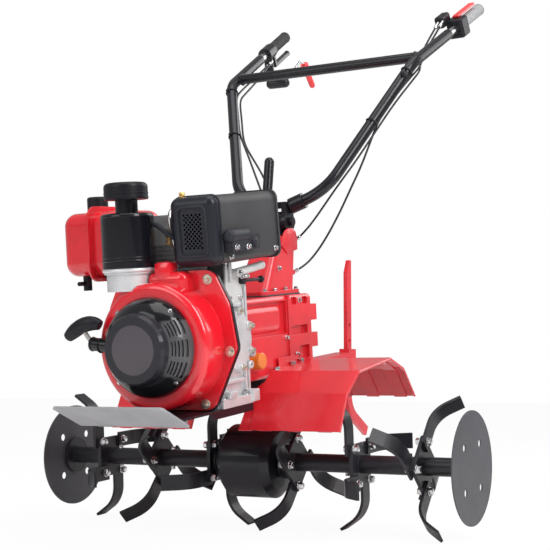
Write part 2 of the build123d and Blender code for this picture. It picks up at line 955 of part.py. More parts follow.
def recoil_badge():
    """A plain disc on the starter's face."""
    front = shroud_front + recoil_face_reach
    return on_body(rod((front - badge_thickness, 0, crank_z), (front, 0, crank_z), badge_radius))


def rope_grip():
    """The grip on the starter rope, at rest beside the bell."""
    near = Vector(shroud_front + rope_grip_reach, -rope_grip_near, crank_z + rope_grip_near_rise)
    far = Vector(shroud_front + rope_grip_reach, -rope_grip_far, crank_z + rope_grip_far_rise)
    stem = rod(rope_eye(), tuple((near + far) / 2), rope_stem_radius) - rope_boss()
    grip = stem + rod(tuple(near), tuple(far), rope_grip_radius)
    grip += Pos(*near) * Sphere(rope_grip_radius) + Pos(*far) * Sphere(rope_grip_radius)
    return on_body(grip)


def crankcase():
    """The engine block behind the fan, one plain mass with a round cover, ribs and feet on its sides."""
    wide = crankcase_half_width
    front = shroud_rear - backing_thickness
    block = slab(front, crankcase_rear, wide, -wide, crankcase_top, crankcase_bottom)
    block = fillet(block.edges().filter_by(Axis.X), crankcase_rounding)
    cover = wide + side_cover_height
    trim = cross_rod(side_cover_x, crank_z, side_cover_radius, cover, wide - crankcase_wall / 2)
    for i in range(side_cover_bolts):
        angle = radians(i * 360 / side_cover_bolts)
        x = side_cover_x + side_cover_radius * cos(angle)
        z = crank_z + side_cover_radius * sin(angle)
        boss_top = cover + side_cover_boss_height
        trim += cross_rod(x, z, side_cover_boss_radius, boss_top, wide - side_cover_boss_radius)
    for place in crankcase_rib_places:
        trim += slab(
            place + crankcase_rib_thickness,
            place,
            wide + crankcase_rib_height,
            0,
            crankcase_top - crankcase_rounding,
            crankcase_bottom,
        )
    trim += slab(
        front - crankcase_foot_setback,
        crankcase_rear + crankcase_foot_setback,
        wide + crankcase_foot_spread,
        0,
        crankcase_bottom + crankcase_foot_height,
        crankcase_bottom,
    )
    block += both_sides(trim)
    wall = crankcase_wall
    room = slab(
        front - wall,
        crankcase_rear + wall,
        wide - wall,
        -wide + wall,
        crankcase_top - wall,
        crankcase_bottom + wall,
    )
    return on_body(block - room - air_seat())


def cylinder():
    """The finned barrel and its head."""
    bottom = crankcase_top
    inset = cylinder_inset
    core = slab(
        cylinder_front - inset,
        cylinder_rear + inset,
        cylinder_left - inset,
        cylinder_right + inset,
        cylinder_top,
        bottom,
    )
    fin_count = int(cylinder_height / fin_pitch)
    for i in range(fin_count):
        low = bottom + (i + 0.6) * fin_pitch
        core += slab(cylinder_front, cylinder_rear, cylinder_left, cylinder_right, low + fin_thickness, low)
    core += slab(cylinder_front, cylinder_rear, cylinder_left, cylinder_right, head_top, cylinder_top)
    return on_body(core)


def rocker_cover():
    """The cover on the head."""
    inset = rocker_inset
    cover = slab(
        cylinder_front - inset,
        cylinder_rear + inset,
        cylinder_left - inset,
        cylinder_right + inset,
        rocker_top,
        head_top,
    )
    return on_body(fillet(cover.edges().filter_by(Axis.Z), rocker_rounding))


def air_base():
    """The cast seat of the air cleaner, with its duct to the head."""
    rim = air_can_bottom - air_base_rim
    seat = post(air_x, air_y, air_base_bottom, rim, air_base_waist)
    seat += post(air_x, air_y, rim, air_can_bottom, air_base_radius)
    seat += slab(
        air_x,
        cylinder_front,
        air_y + air_duct_half_width,
        air_y - air_duct_half_width,
        air_can_bottom,
        air_can_bottom - air_duct_height,
    )
    return on_body(seat)


def rounded_drum(bottom, top, radius, rounding):
    """An upright drum on the air cleaner's axis with a rounded top edge."""
    drum = post(air_x, air_y, bottom, top, radius)
    return fillet(drum.faces().sort_by(Axis.Z)[-1].edges(), rounding)


def air_can():
    """The black canister and its neck."""
    wall = air_can_wall
    can = rounded_drum(air_can_bottom, air_can_top, air_can_radius, air_can_rounding)
    can -= rounded_drum(
        air_can_bottom + wall, air_can_top - wall, air_can_radius - wall, air_can_rounding - wall
    )
    return on_body(can + post(air_x, air_y, air_can_top - wall, air_cap_bottom, air_neck_radius))


def air_cap():
    """The rain cap of the air cleaner."""
    top = air_cap_bottom + air_cap_height
    return on_body(rounded_drum(air_cap_bottom, top, air_cap_radius, air_cap_rounding))


def fuel_tank():
    """Two drawn halves with a seam flange between them."""
    tank = rounded(slab(tank_front, tank_rear, tank_left, tank_right, tank_top, tank_bottom), tank_rounding)
    wall = tank_wall
    room = rounded(
        slab(
            tank_front - wall,
            tank_rear + wall,
            tank_left - wall,
            tank_right + wall,
            tank_top - wall,
            tank_bottom + wall,
        ),
        tank_rounding - wall,
    )
    lip = tank_seam_lip
    seam = slab(
        tank_front + lip,
        tank_rear - lip,
        tank_seam + tank_seam_thickness / 2,
        tank_seam - tank_seam_thickness / 2,
        tank_top + lip,
        tank_bottom - lip,
    )
    return on_body(tank + fillet(seam.edges().filter_by(Axis.Y), tank_rounding) - room)


def tank_cap():
    """The filler cap."""
    x = (tank_front + tank_rear) / 2
    y = tank_seam - tank_seam_thickness / 2 - tank_cap_gap - tank_cap_radius
    cap = post(x, y, tank_top, tank_top + tank_cap_height, tank_cap_radius)
    return on_body(fillet(cap.faces().sort_by(Axis.Z)[-1].edges(), tank_cap_rounding))


def fuel_tap():
    """The tap under the tank's front corner."""
    x = tank_front - tap_inset
    y = (tank_seam + tank_right) / 2
    tap = post(x, y, tank_bottom - tap_length, tank_bottom, tap_radius)
    z = tank_bottom - tap_length / 2
    tap += rod((x, y, z), (x + tap_length, y, z), tap_radius / 2)
    return on_body(tap)


def tank_shelf():
    """The steel shelf that carries the tank on the cylinder's side."""
    low = tank_bottom - tank_shelf_thickness
    front = tank_front - tank_shelf_front_inset
    rear = tank_rear + tank_shelf_rear_inset
    inside = tank_seam + tank_seam_thickness / 2 + tank_shelf_thickness
    shelf = slab(front, rear, cylinder_right, inside, tank_bottom, low)
    leg = slab(front, rear, cylinder_right, cylinder_right - tank_shelf_thickness, low, crankcase_top)
    return on_body(shelf + leg)


def on_muffler(shape):
    """The same shape, turned nose down with the silencer."""
    middle = Pos((muffler_front + muffler_rear) / 2, 0, (muffler_top + muffler_bottom) / 2)
    return middle * Rot(0, muffler_pitch, 0) * middle.inverse() * shape


def guard_window():
    """The window in the silencer's front, as (left, right, top, bottom)."""
    return (
        guard_left - guard_margin,
        guard_right + guard_margin,
        muffler_top - guard_inset - guard_margin,
        muffler_bottom + guard_inset + guard_margin,
    )


def muffler():
    """The black silencer box beside the head, with a window for its perforated plate."""
    wall = muffler_wall
    box = slab(muffler_front, muffler_rear, muffler_left, muffler_right, muffler_top, muffler_bottom)
    room = slab(
        muffler_front - wall,
        muffler_rear + wall,
        muffler_left - wall,
        muffler_right + wall,
        muffler_top - wall,
        muffler_bottom + wall,
    )
    lip = muffler_seam_lip
    seam = slab(
        muffler_seam_place,
        muffler_seam_place - muffler_seam_width,
        muffler_left + lip,
        muffler_right - lip,
        muffler_top + lip,
        muffler_bottom - lip,
    )
    seam = fillet(seam.edges().filter_by(Axis.X), muffler_rounding)
    shell = rounded(box, muffler_rounding) + seam - rounded(room, muffler_rounding - wall)
    left, right, top, bottom = guard_window()
    window = slab(muffler_front + wall, muffler_front - 2 * wall, left, right, top, bottom)
    shell = on_muffler(shell - fillet(window.edges().filter_by(Axis.X), guard_margin))
    shell += slab(
        muffler_leg_front,
        muffler_leg_rear,
        muffler_leg_left,
        muffler_leg_left - muffler_leg_thickness,
        muffler_bottom + 2 * wall,
        crankcase_top,
    )
    return on_body(shell)


def muffler_guard():
    """The perforated plate behind the window in the silencer's front."""
    face = muffler_front - muffler_wall
    top = muffler_top - guard_inset
    bottom = muffler_bottom + guard_inset
    columns = int((guard_left - guard_right - 3 * guard_margin) / guard_hole_pitch)
    rows = int((top - bottom - 3 * guard_margin) / guard_hole_pitch)
    sheet = Rectangle(guard_left - guard_right, top - bottom)
    for place in GridLocations(guard_hole_pitch, guard_hole_pitch, columns, rows):
        sheet -= place * Circle(guard_hole_radius)
    for place in GridLocations(guard_hole_pitch, guard_hole_pitch, columns - 1, rows - 1):
        sheet -= place * Circle(guard_hole_radius)
    middle = Pos((guard_left + guard_right) / 2, (top + bottom) / 2)
    guard = extrude(Plane.YZ.offset(face - guard_thickness) * middle * sheet, guard_thickness)
    return on_body(on_muffler(guard))


def muffler_outlet():
    """The outlet pipe on the silencer's left, on a short box."""
    z = muffler_bottom + outlet_rise
    y = muffler_left + outlet_radius
    box = slab(
        outlet_front,
        outlet_rear,
        muffler_left + outlet_box_depth,
        muffler_left,
        z,
        z - outlet_box_drop,
    )
    rear = (outlet_pipe_rear, y, z)
    outlet = box + rod(rear, (outlet_front, y, z), outlet_radius)
    outlet -= rod(rear, (outlet_pipe_rear + outlet_bore_depth, y, z), outlet_bore)
    return on_body(on_muffler(outlet))


def exhaust_elbow():
    """The flange between head and silencer."""
    x = (cylinder_front + cylinder_rear) / 2
    z = (head_top + cylinder_top) / 2
    return on_body(cross_rod(x, z, elbow_radius, muffler_right, cylinder_left))


def speed_control():
    """The governor plate on the engine's left, with its lever."""
    near = crankcase_half_width
    board = slab(
        control_plate_front,
        control_plate_rear,
        near + control_plate_thickness,
        near,
        crankcase_top + control_plate_rise,
        crankcase_top - control_plate_bottom_drop,
    )
    y = near + speed_lever_stand
    z = crankcase_top + speed_lever_rise
    tip = (speed_lever_x - speed_lever_length, y, z + speed_lever_lift)
    lever = rod((speed_lever_x, y, z), tip, speed_lever_radius)
    pin = cross_rod(speed_lever_x, z, control_pin_radius, y + speed_lever_radius, near)
    return on_body(board + pin + lever)


def stop_lever():
    """The thin lever with a ball, under the speed lever."""
    near = crankcase_half_width + control_plate_thickness
    y = crankcase_half_width + speed_lever_stand
    z = crankcase_top - stop_lever_drop
    end = (stop_lever_x - stop_lever_length, y, z)
    lever = cross_rod(stop_lever_x, z, stop_knob_radius, y + stop_lever_radius, near)
    lever += rod((stop_lever_x, y, z), end, stop_lever_radius) + Pos(*end) * Sphere(stop_knob_radius)
    return on_body(lever)


def oil_cap():
    """The filler cap on the gearbox's left."""
    near = gearbox_half_width
    z = gearbox_bottom + oil_cap_rise
    cap = cross_rod(oil_cap_x, z, oil_cap_radius, near + oil_cap_height, near)
    return on_body(fillet(cap.faces().sort_by(Axis.Y)[-1].edges(), oil_cap_rounding))


def engine_bed():
    """The folded plate that the engine stands on."""
    top = crankcase_bottom
    wide = bed_half_width
    bed = slab(bed_front, bed_rear, wide, -wide, top, top - bed_thickness)
    bed += both_sides(slab(bed_skirt_front, bed_rear, wide, wide - bed_thickness, top, top - bed_skirt))
    return on_body(bed)


def bumper():
    """The sloping plate in front of the engine."""
    low = ((bumper_rear_x, bumper_rear_z), (bumper_front_x, bumper_front_z))
    outline = list(low) + list(reversed(mitred(low, bumper_thickness)))
    sheet = plate(outline, bumper_half_width, -bumper_half_width)
    front_edges = sheet.faces().sort_by(Axis.X)[-1].edges().filter_by(Axis.Y, reverse=True)
    sheet = chamfer(front_edges, bumper_corner)
    seat = crankcase_bottom - bed_thickness
    arm = slab(
        bumper_rear_x + bumper_thickness,
        bumper_rear_x - bumper_arm_length,
        bumper_arm_place + bumper_arm_width / 2,
        bumper_arm_place - bumper_arm_width / 2,
        seat,
        bumper_rear_z - bumper_thickness,
    )
    return on_body(sheet + both_sides(arm))


# Fenders, hitch and drag stake


def fender(side):
    """A folded guard over one reel, with pressed ribs and the tab that bolts to the gearbox."""
    outline = list(fender_profile) + list(reversed(mitred(fender_profile, fender_thickness)))
    guard = plate(outline, fender_outer, fender_inner)
    raised = list(fender_profile) + list(reversed(mitred(fender_profile, -fender_rib_height)))
    pitch = (fender_outer - fender_inner) / fender_rib_count
    for i in range(fender_rib_count):
        middle = fender_inner + (i + 0.5) * pitch
        guard += plate(raised, middle + fender_rib_width / 2, middle - fender_rib_width / 2)
    ridge = max(z for x, z in fender_profile)
    guard += slab(
        fender_profile[2][0] - fender_tab_front_inset,
        fender_profile[3][0] + fender_tab_rear_inset,
        fender_inner + fender_thickness,
        fender_inner,
        ridge + fender_tab_height,
        fender_profile[2][1] - fender_thickness,
    )
    return on_body(guard if side > 0 else mirror(guard, Plane.XZ))


def hitch_pin_place():
    """The middle of the bore for an implement's pin, in body coordinates."""
    return gearbox_rear - hitch_pin_behind, 0.0, gearbox_bottom - hitch_drop + hitch_arm_height / 2


def hitch():
    """The arm behind the gearbox with the upright socket for the stake."""
    near = gearbox_rear - hitch_plate_thickness
    low = gearbox_bottom - hitch_drop
    wide = hitch_plate_half_width
    face = slab(gearbox_rear, near, wide, -wide, low + hitch_plate_height, low)
    half = hitch_arm_half_width
    high = low + hitch_arm_height
    middle = socket_bottom + socket_height / 2
    far = unpitched((stake_x + stake_width / 2, 0, middle))[0]
    arm = slab(near, far, half, -half, high, low)
    wall = hitch_arm_wall
    arm -= slab(near, far, half - wall, -half + wall, high - wall, low + wall)
    pin_x, _, pin_z = hitch_pin_place()
    arm -= cross_rod(pin_x, pin_z, hitch_pin_radius, half, -half)
    long = stake_width + 2 * fit_gap
    wide = stake_thickness + 2 * fit_gap
    block = Pos(stake_x, 0, middle) * Box(long + 2 * socket_wall, wide + 2 * socket_wall, socket_height)
    carried = on_body(face + arm) + on_floor(block)
    through = on_floor(Pos(stake_x, 0, middle) * Box(long, wide, 4 * socket_height))
    return carried - through


def drag_stake():
    """A flat bar with pin holes and a tapered top, bent back at its foot."""
    half = stake_width / 2
    shoulder = stake_top - stake_taper_height
    outline = (
        (half, stake_bend_start),
        (half, shoulder),
        (half - stake_taper_depth, stake_top),
        (-half, stake_top),
        (-half, stake_bend_start),
    )
    bar = plate(outline, stake_thickness / 2, -stake_thickness / 2)
    bend = revolve(
        Pos(0, 0, stake_bend_start) * Rectangle(stake_width, stake_thickness),
        Axis((-stake_bend_radius, 0, stake_bend_start), (0, 1, 0)),
        stake_bend_angle,
    )
    turn = radians(stake_bend_angle)
    end_x = -stake_bend_radius * (1 - cos(turn))
    end_z = stake_bend_start - stake_bend_radius * sin(turn)
    down = (-sin(turn), 0, -cos(turn))
    heading = Plane(origin=(end_x, 0, end_z), z_dir=down, x_dir=(cos(turn), 0, -sin(turn)))
    tip = heading * Box(
        stake_width, stake_thickness, stake_tip_length, align=(Align.CENTER, Align.CENTER, Align.MIN)
    )
    stake = bar + bend + tip
    for i in range(stake_hole_count):
        z = socket_bottom + socket_height + stake_hole_rise + i * stake_hole_pitch
        stake -= cross_rod(0, z, stake_hole_radius, stake_thickness, -stake_thickness)
    return on_floor(Pos(stake_x, 0, 0) * stake)


# Handlebar


def from_pivot(point, side):
    """A place given from the handlebar's pivot, on one side, in body coordinates."""
    x, y, z = point
    return Vector(pivot_x + x, side * y, pivot_z + z)


def handle_heading(side):
    """The direction of the last straight stretch of one handle."""
    return (handle_end(side) - from_pivot(handle_high_bend, side)).normalized()


def handle_end(side):
    """The end of one handle."""
    return from_pivot((-handle_end_behind, handle_end_half_width, handle_end_rise), side)


def handle_start(side):
    """Where one handle tube starts in its socket."""
    return from_pivot((-handle_start_behind, handle_start_half_width, handle_start_rise), side)


def at_grip(back, inward, up, side):
    """A place back from a handle's end, inwards and up from its middle."""
    heading = handle_heading(side)
    rise = (Vector(0, 0, 1) - heading * heading.Z).normalized()
    across = rise.cross(heading) * side
    return tuple(handle_end(side) - heading * back + across * inward + rise * up)


def grip_block(near, far, inner, outer, up, down):
    """A box along the left handle, from its end backwards, before it is rounded."""
    heading = handle_heading(1)
    rise = (Vector(0, 0, 1) - heading * heading.Z).normalized()
    middle = at_grip((near + far) / 2, (inner + outer) / 2, (up + down) / 2, 1)
    return Plane(origin=middle, x_dir=heading, z_dir=rise) * Box(far - near, inner - outer, up - down)


def along_handle(side, radius):
    """A round bar that follows one handle tube."""
    corners = [
        handle_start(side),
        from_pivot(handle_low_bend, side),
        from_pivot(handle_high_bend, side),
        handle_end(side) - handle_heading(side) * handle_bare_length,
    ]
    path = FilletPolyline(*corners, radius=[handle_low_bend_radius, handle_high_bend_radius])
    return sweep(Plane(origin=path @ 0, z_dir=path % 0) * Circle(radius), path=path)


def handle_tube(side):
    """One bent handle tube."""
    outside = along_handle(side, handle_tube_radius)
    return on_body(outside - along_handle(side, handle_tube_radius - handle_tube_wall))


def grip_bar(side):
    """The bare bar in a handle tube's end, which carries the grip."""
    near = at_grip(handle_bare_length + grip_bar_overlap, 0, 0, side)
    end = tuple(handle_end(side))
    return on_body(rod(near, end, grip_bar_radius) - rod(near, end, grip_bar_bore))


def handle_clamp():
    """The fork on the bracket's pin, with a socket for each tube."""
    inner = bracket_half_width + fit_gap
    outer = inner + clamp_plate_thickness
    front = pivot_x + clamp_bridge_front
    rear = pivot_x - clamp_bridge_rear
    top = pivot_z + clamp_bridge_top
    cheek = cross_rod(pivot_x, pivot_z, bracket_radius, outer, inner)
    cheek += slab(front, rear, outer, inner, top, pivot_z)
    fork = both_sides(cheek) + slab(front, rear, outer, -outer, top, pivot_z + clamp_bridge_bottom)
    for side in (1, -1):
        start = handle_start(side)
        heading = (from_pivot(handle_low_bend, side) - start).normalized()
        end = start + heading * handle_socket_length
        fork += rod(tuple(start), tuple(end), handle_tube_radius + handle_socket_wall)
    for side in (1, -1):
        start = handle_start(side)
        heading = (from_pivot(handle_low_bend, side) - start).normalized()
        end = start + heading * handle_socket_length
        fork -= rod(tuple(start), tuple(end), handle_tube_radius + running_gap)
    fork -= cross_rod(pivot_x, pivot_z, pivot_radius + running_gap, outer, -outer)
    return on_body(fork)


def cross_tube():
    """The straight tube between the handle tubes."""
    place = from_pivot(handle_high_bend, 1) + handle_heading(1) * cross_tube_place
    tube = cross_rod(place.X, place.Z, cross_tube_radius, place.Y, -place.Y)
    for side in (1, -1):
        tube -= along_handle(side, handle_tube_radius + running_gap)
    return on_body(tube.solids().sort_by(SortBy.VOLUME)[-1])


def grip(side):
    """The rubber sleeve on one handle end."""
    start = at_grip(grip_length, 0, 0, side)
    end = at_grip(0, 0, 0, side)
    cap = at_grip(-grip_thickness, 0, 0, side)
    sleeve = rod(start, cap, grip_bar_radius + grip_thickness)
    return on_body(sleeve - rod(start, end, grip_bar_radius + running_gap))


# Hand controls and cables


def throttle_housing():
    """The throttle's case on the left handle, with a lobe for its cables."""
    case = rounded(
        grip_block(
            throttle_near,
            throttle_far,
            throttle_half_width,
            -throttle_half_width,
            throttle_up,
            -throttle_down,
        ),
        throttle_rounding,
    )
    lobe = grip_block(
        (throttle_near + throttle_far) / 2,
        throttle_lobe_far,
        throttle_lobe_inner,
        throttle_lobe_outer,
        throttle_lobe_up,
        throttle_lobe_down,
    )
    case += rounded(lobe, throttle_rounding)
    bore = rod(
        at_grip(throttle_near, 0, 0, 1), at_grip(throttle_lobe_far, 0, 0, 1), grip_bar_radius + running_gap
    )
    return on_body(case - bore)


def throttle_lever():
    """The thumb lever along the left grip's top."""
    lever = grip_block(
        throttle_near - throttle_lever_length,
        throttle_near + throttle_lever_root,
        throttle_lever_width / 2,
        -throttle_lever_width / 2,
        throttle_up + throttle_lever_thickness,
        throttle_up,
    )
    return on_body(fillet(lever.edges(), throttle_lever_thickness / 3))


def clutch_perch():
    """The lever's seat on the right handle, with a post and a side arm under it."""
    perch = rod(at_grip(perch_near, 0, 0, -1), at_grip(perch_far, 0, 0, -1), perch_radius)
    foot = at_grip(perch_far, 0, -perch_post_drop, -1)
    perch += rod(at_grip((perch_near + perch_far) / 2, 0, 0, -1), foot, perch_post_radius)
    arm_end = at_grip(perch_far, perch_arm_reach, -perch_post_drop, -1)
    perch += rod(foot, arm_end, perch_arm_radius) + Pos(*arm_end) * Sphere(perch_arm_radius)
    perch += Pos(*foot) * Sphere(perch_arm_radius)
    bore = rod(at_grip(perch_near, 0, 0, -1), at_grip(perch_far, 0, 0, -1), grip_bar_radius + running_gap)
    return on_body(perch - bore)


def clutch_lever():
    """The hand lever under the right grip."""
    high = -grip_bar_radius - grip_thickness - clutch_lever_gap
    blade = grip_block(
        clutch_lever_end,
        perch_near - fit_gap,
        clutch_lever_half_width,
        -clutch_lever_half_width,
        high,
        high - clutch_lever_depth,
    )
    blade += grip_block(
        perch_near - clutch_lever_depth - fit_gap,
        perch_near - fit_gap,
        clutch_lever_half_width,
        -clutch_lever_half_width,
        -grip_bar_radius,
        high - clutch_lever_depth,
    )
    room = grip_bar_radius + grip_thickness + fit_gap
    blade -= rod(at_grip(0, 0, 0, 1), at_grip(perch_near, 0, 0, 1), room)
    ball = at_grip(clutch_lever_end, 0, high - clutch_lever_depth / 2, 1)
    blade += Pos(*ball) * Sphere(clutch_ball_radius)
    return on_body(mirror(blade, Plane.XZ))


def side_lever_route():
    """The bent rod of the second lever, from its arm to the end of its sleeve."""
    arm = Vector(*at_grip(perch_far, perch_arm_reach, -perch_post_drop, -1))
    bend = Vector(*at_grip(*side_lever_bend, -1))
    collar = Vector(*at_grip(*side_lever_collar, -1))
    end = Vector(*at_grip(*side_lever_end, -1))
    start = arm + (bend - arm).normalized() * (perch_arm_radius + fit_gap)
    inside = collar + (end - collar) * 0.5
    return start, bend, collar, inside, end


def side_lever_rod(radius):
    """The second lever's rod, with rounded corners."""
    start, bend, collar, inside, _ = (tuple(point) for point in side_lever_route())
    lever = rod(start, bend, radius) + rod(bend, collar, radius) + rod(collar, inside, radius)
    return lever + Pos(*bend) * Sphere(radius) + Pos(*collar) * Sphere(radius)


def side_lever():
    """The bent rod of the second lever on the right."""
    return on_body(side_lever_rod(side_lever_radius))


def side_sleeve():
    """The sleeve on the second lever's end."""
    _, _, collar, _, end = side_lever_route()
    heading = (end - collar).normalized()
    shoulder = tuple(collar + heading * side_collar_length)
    sleeve = rod(tuple(collar), shoulder, side_collar_radius)
    sleeve += rod(tuple(collar), tuple(end), side_sleeve_radius)
    sleeve += Pos(*tuple(end)) * Sphere(side_sleeve_radius)
    return on_body(sleeve - side_lever_rod(side_lever_radius + running_gap))


def cable_radii(route):
    """The bend radius at each inner point of a cable's route."""
    radii = []
    for before, here, after in zip(route, route[1:], route[2:]):
        first = Vector(*here) - Vector(*before)
        second = Vector(*after) - Vector(*here)
        half_turn = radians(first.get_angle(second) / 2)
        radii.append(0.45 * min(first.length, second.length) / tan(half_turn))
    return radii


def control_cables():
    """The cables from the hand controls to the gear tower."""
    cables = []
    for route in cable_routes:
        path = FilletPolyline(*route, radius=cable_radii(route))
        cable = sweep(Plane(origin=path @ 0, z_dir=path % 0) * Circle(cable_radius), path=path)
        share = cable.volume / (path.length * pi * cable_radius**2)
        print(f"cable volume share {share:.4f}, radii", [round(r) for r in cable_radii(route)])
        cables.append(on_body(cable))
    return Compound(children=cables)


nodes = {
    "axle_shaft": axle_shaft(),
    "tine_reel_left": reel(1, True, (-1, -1, 1)),
    "tine_reel_right": reel(-1, False, (-1, 1, 1)),
    "side_disc_left": side_disc(1),
    "side_disc_right": side_disc(-1),
    "final_drive": final_drive(),
    "gearbox": gearbox(),
    "gear_tower": gear_tower(),
    "handle_bracket": handle_bracket(),
    "shift_lever": shift_lever(),
    "fan_shroud": fan_shroud(),
    "shroud_backing": shroud_backing(),
    "recoil_starter": recoil_starter(),
    "recoil_badge": recoil_badge(),
    "rope_grip": rope_grip(),
    "crankcase": crankcase(),
    "cylinder": cylinder(),
    "rocker_cover": rocker_cover(),
    "air_base": air_base(),
    "air_can": air_can(),
    "air_cap": air_cap(),
    "fuel_tank": fuel_tank(),
    "tank_cap": tank_cap(),
    "fuel_tap": fuel_tap(),
    "tank_shelf": tank_shelf(),
    "muffler": muffler(),
    "muffler_guard": muffler_guard(),
    "muffler_outlet": muffler_outlet(),
    "exhaust_elbow": exhaust_elbow(),
    "speed_control": speed_control(),
    "stop_lever": stop_lever(),
    "oil_cap": oil_cap(),
    "engine_bed": engine_bed(),
    "bumper": bumper(),
    "fender_left": fender(1),
    "fender_right": fender(-1),
    "hitch": hitch(),
    "drag_stake": drag_stake(),
    "handle_clamp": handle_clamp(),
    "handle_tube_left": handle_tube(1),
    "handle_tube_right": handle_tube(-1),
    "grip_bar_left": grip_bar(1),
    "grip_bar_right": grip_bar(-1),
    "cross_tube": cross_tube(),
    "grip_left": grip(1),
    "grip_right": grip(-1),
    "throttle_housing": throttle_housing(),
    "throttle_lever": throttle_lever(),
    "clutch_perch": clutch_perch(),
    "clutch_lever": clutch_lever(),
    "side_lever": side_lever(),
    "side_sleeve": side_sleeve(),
    "control_cables": control_cables(),
}

os.makedirs("parts", exist_ok=True)
for name, shape in nodes.items():
    export_step(shape, f"parts/{name}.step")
print(f"axle height {axle_height:.1f}, axle x {axle_x:.1f}, reel turn {reel_turn:.2f}")
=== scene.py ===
import json
from math import cos, pi, radians, sin

import bmesh
import bpy
from mathutils import Matrix, Vector


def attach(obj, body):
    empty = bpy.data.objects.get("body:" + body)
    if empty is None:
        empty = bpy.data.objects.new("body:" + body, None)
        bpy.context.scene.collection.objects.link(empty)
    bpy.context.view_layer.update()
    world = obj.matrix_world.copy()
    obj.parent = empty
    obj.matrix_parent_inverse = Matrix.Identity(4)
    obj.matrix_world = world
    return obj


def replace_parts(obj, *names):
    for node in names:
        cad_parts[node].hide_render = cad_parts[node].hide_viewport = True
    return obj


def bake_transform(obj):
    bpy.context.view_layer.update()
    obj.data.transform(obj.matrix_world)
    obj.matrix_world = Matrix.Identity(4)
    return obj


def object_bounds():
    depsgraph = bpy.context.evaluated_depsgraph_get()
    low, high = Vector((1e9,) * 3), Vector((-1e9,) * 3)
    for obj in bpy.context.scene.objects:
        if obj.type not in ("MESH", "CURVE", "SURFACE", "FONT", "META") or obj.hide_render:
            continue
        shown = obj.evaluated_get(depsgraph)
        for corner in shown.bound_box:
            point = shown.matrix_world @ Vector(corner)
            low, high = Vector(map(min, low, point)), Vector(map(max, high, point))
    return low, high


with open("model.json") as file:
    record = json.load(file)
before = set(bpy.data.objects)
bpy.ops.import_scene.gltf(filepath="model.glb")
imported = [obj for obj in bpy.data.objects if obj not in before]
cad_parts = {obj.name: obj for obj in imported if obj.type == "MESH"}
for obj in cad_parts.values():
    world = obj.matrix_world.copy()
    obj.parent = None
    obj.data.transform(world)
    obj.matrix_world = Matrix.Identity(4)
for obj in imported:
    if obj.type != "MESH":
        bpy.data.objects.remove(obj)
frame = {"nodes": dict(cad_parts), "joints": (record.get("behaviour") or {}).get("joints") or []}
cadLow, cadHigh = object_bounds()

nodes = frame["nodes"]
axle = Vector(next(j["pos_m"] for j in frame["joints"] if j["name"] == "tine_axle_spin"))
millimetre = Matrix.Scale(0.001, 4)
pitch, reelTurn = radians(6.0), radians(3.76)   # the machine stands nose down, the reels are turned a little
bodyPlace = Matrix.Translation(axle) @ Matrix.Rotation(pitch, 4, "Y") @ millimetre
reelPlace = Matrix.Translation(axle) @ Matrix.Rotation(reelTurn, 4, "Y") @ millimetre

# the camera, where the picture was taken from
cameraSet = {"place": (2.4920, 1.372, 0.3185), "azimuth": 118.64, "elevation": -4.63, "lens": 83.9}
turn, rise = radians(cameraSet["azimuth"]), radians(cameraSet["elevation"])
lookBack = Vector((sin(turn) * cos(rise), -cos(turn) * cos(rise), sin(rise)))
camera = bpy.data.objects.new("camera", bpy.data.cameras.new("camera"))
camera.data.sensor_width = 36
camera.data.lens = cameraSet["lens"]
camera.location = cameraSet["place"]
camera.rotation_mode = "QUATERNION"
camera.rotation_quaternion = (-lookBack).to_track_quat("-Z", "Y")
bpy.context.scene.collection.objects.link(camera)
bpy.context.scene.camera = camera
bpy.context.scene.view_settings.view_transform = "Standard"
print("camera set")


class Flow:   # one socket, so that shader sums read as sums
    def __init__(self, finish, socket):
        self.finish = finish
        self.socket = socket

    def sum(self, operation, first, second):
        return self.finish.node("ShaderNodeMath", {"operation": operation}, {0: first, 1: second})

    def __add__(self, other):
        return self.sum("ADD", self, other)

    __radd__ = __add__

    def __sub__(self, other):
        return self.sum("SUBTRACT", self, other)

    def __rsub__(self, other):
        return self.sum("SUBTRACT", other, self)

    def __mul__(self, other):
        return self.sum("MULTIPLY", self, other)

    __rmul__ = __mul__

    def __pow__(self, other):
        return self.sum("POWER", self, other)

    def most(self, other):
        return self.sum("MAXIMUM", self, other)

    def between(self, low, high):   # 0 below low, 1 above high, smooth in the middle
        return self.finish.node(
            "ShaderNodeMapRange", {"interpolation_type": "SMOOTHSTEP"}, {0: self, 1: low, 2: high, 3: 0.0, 4: 1.0}
        )


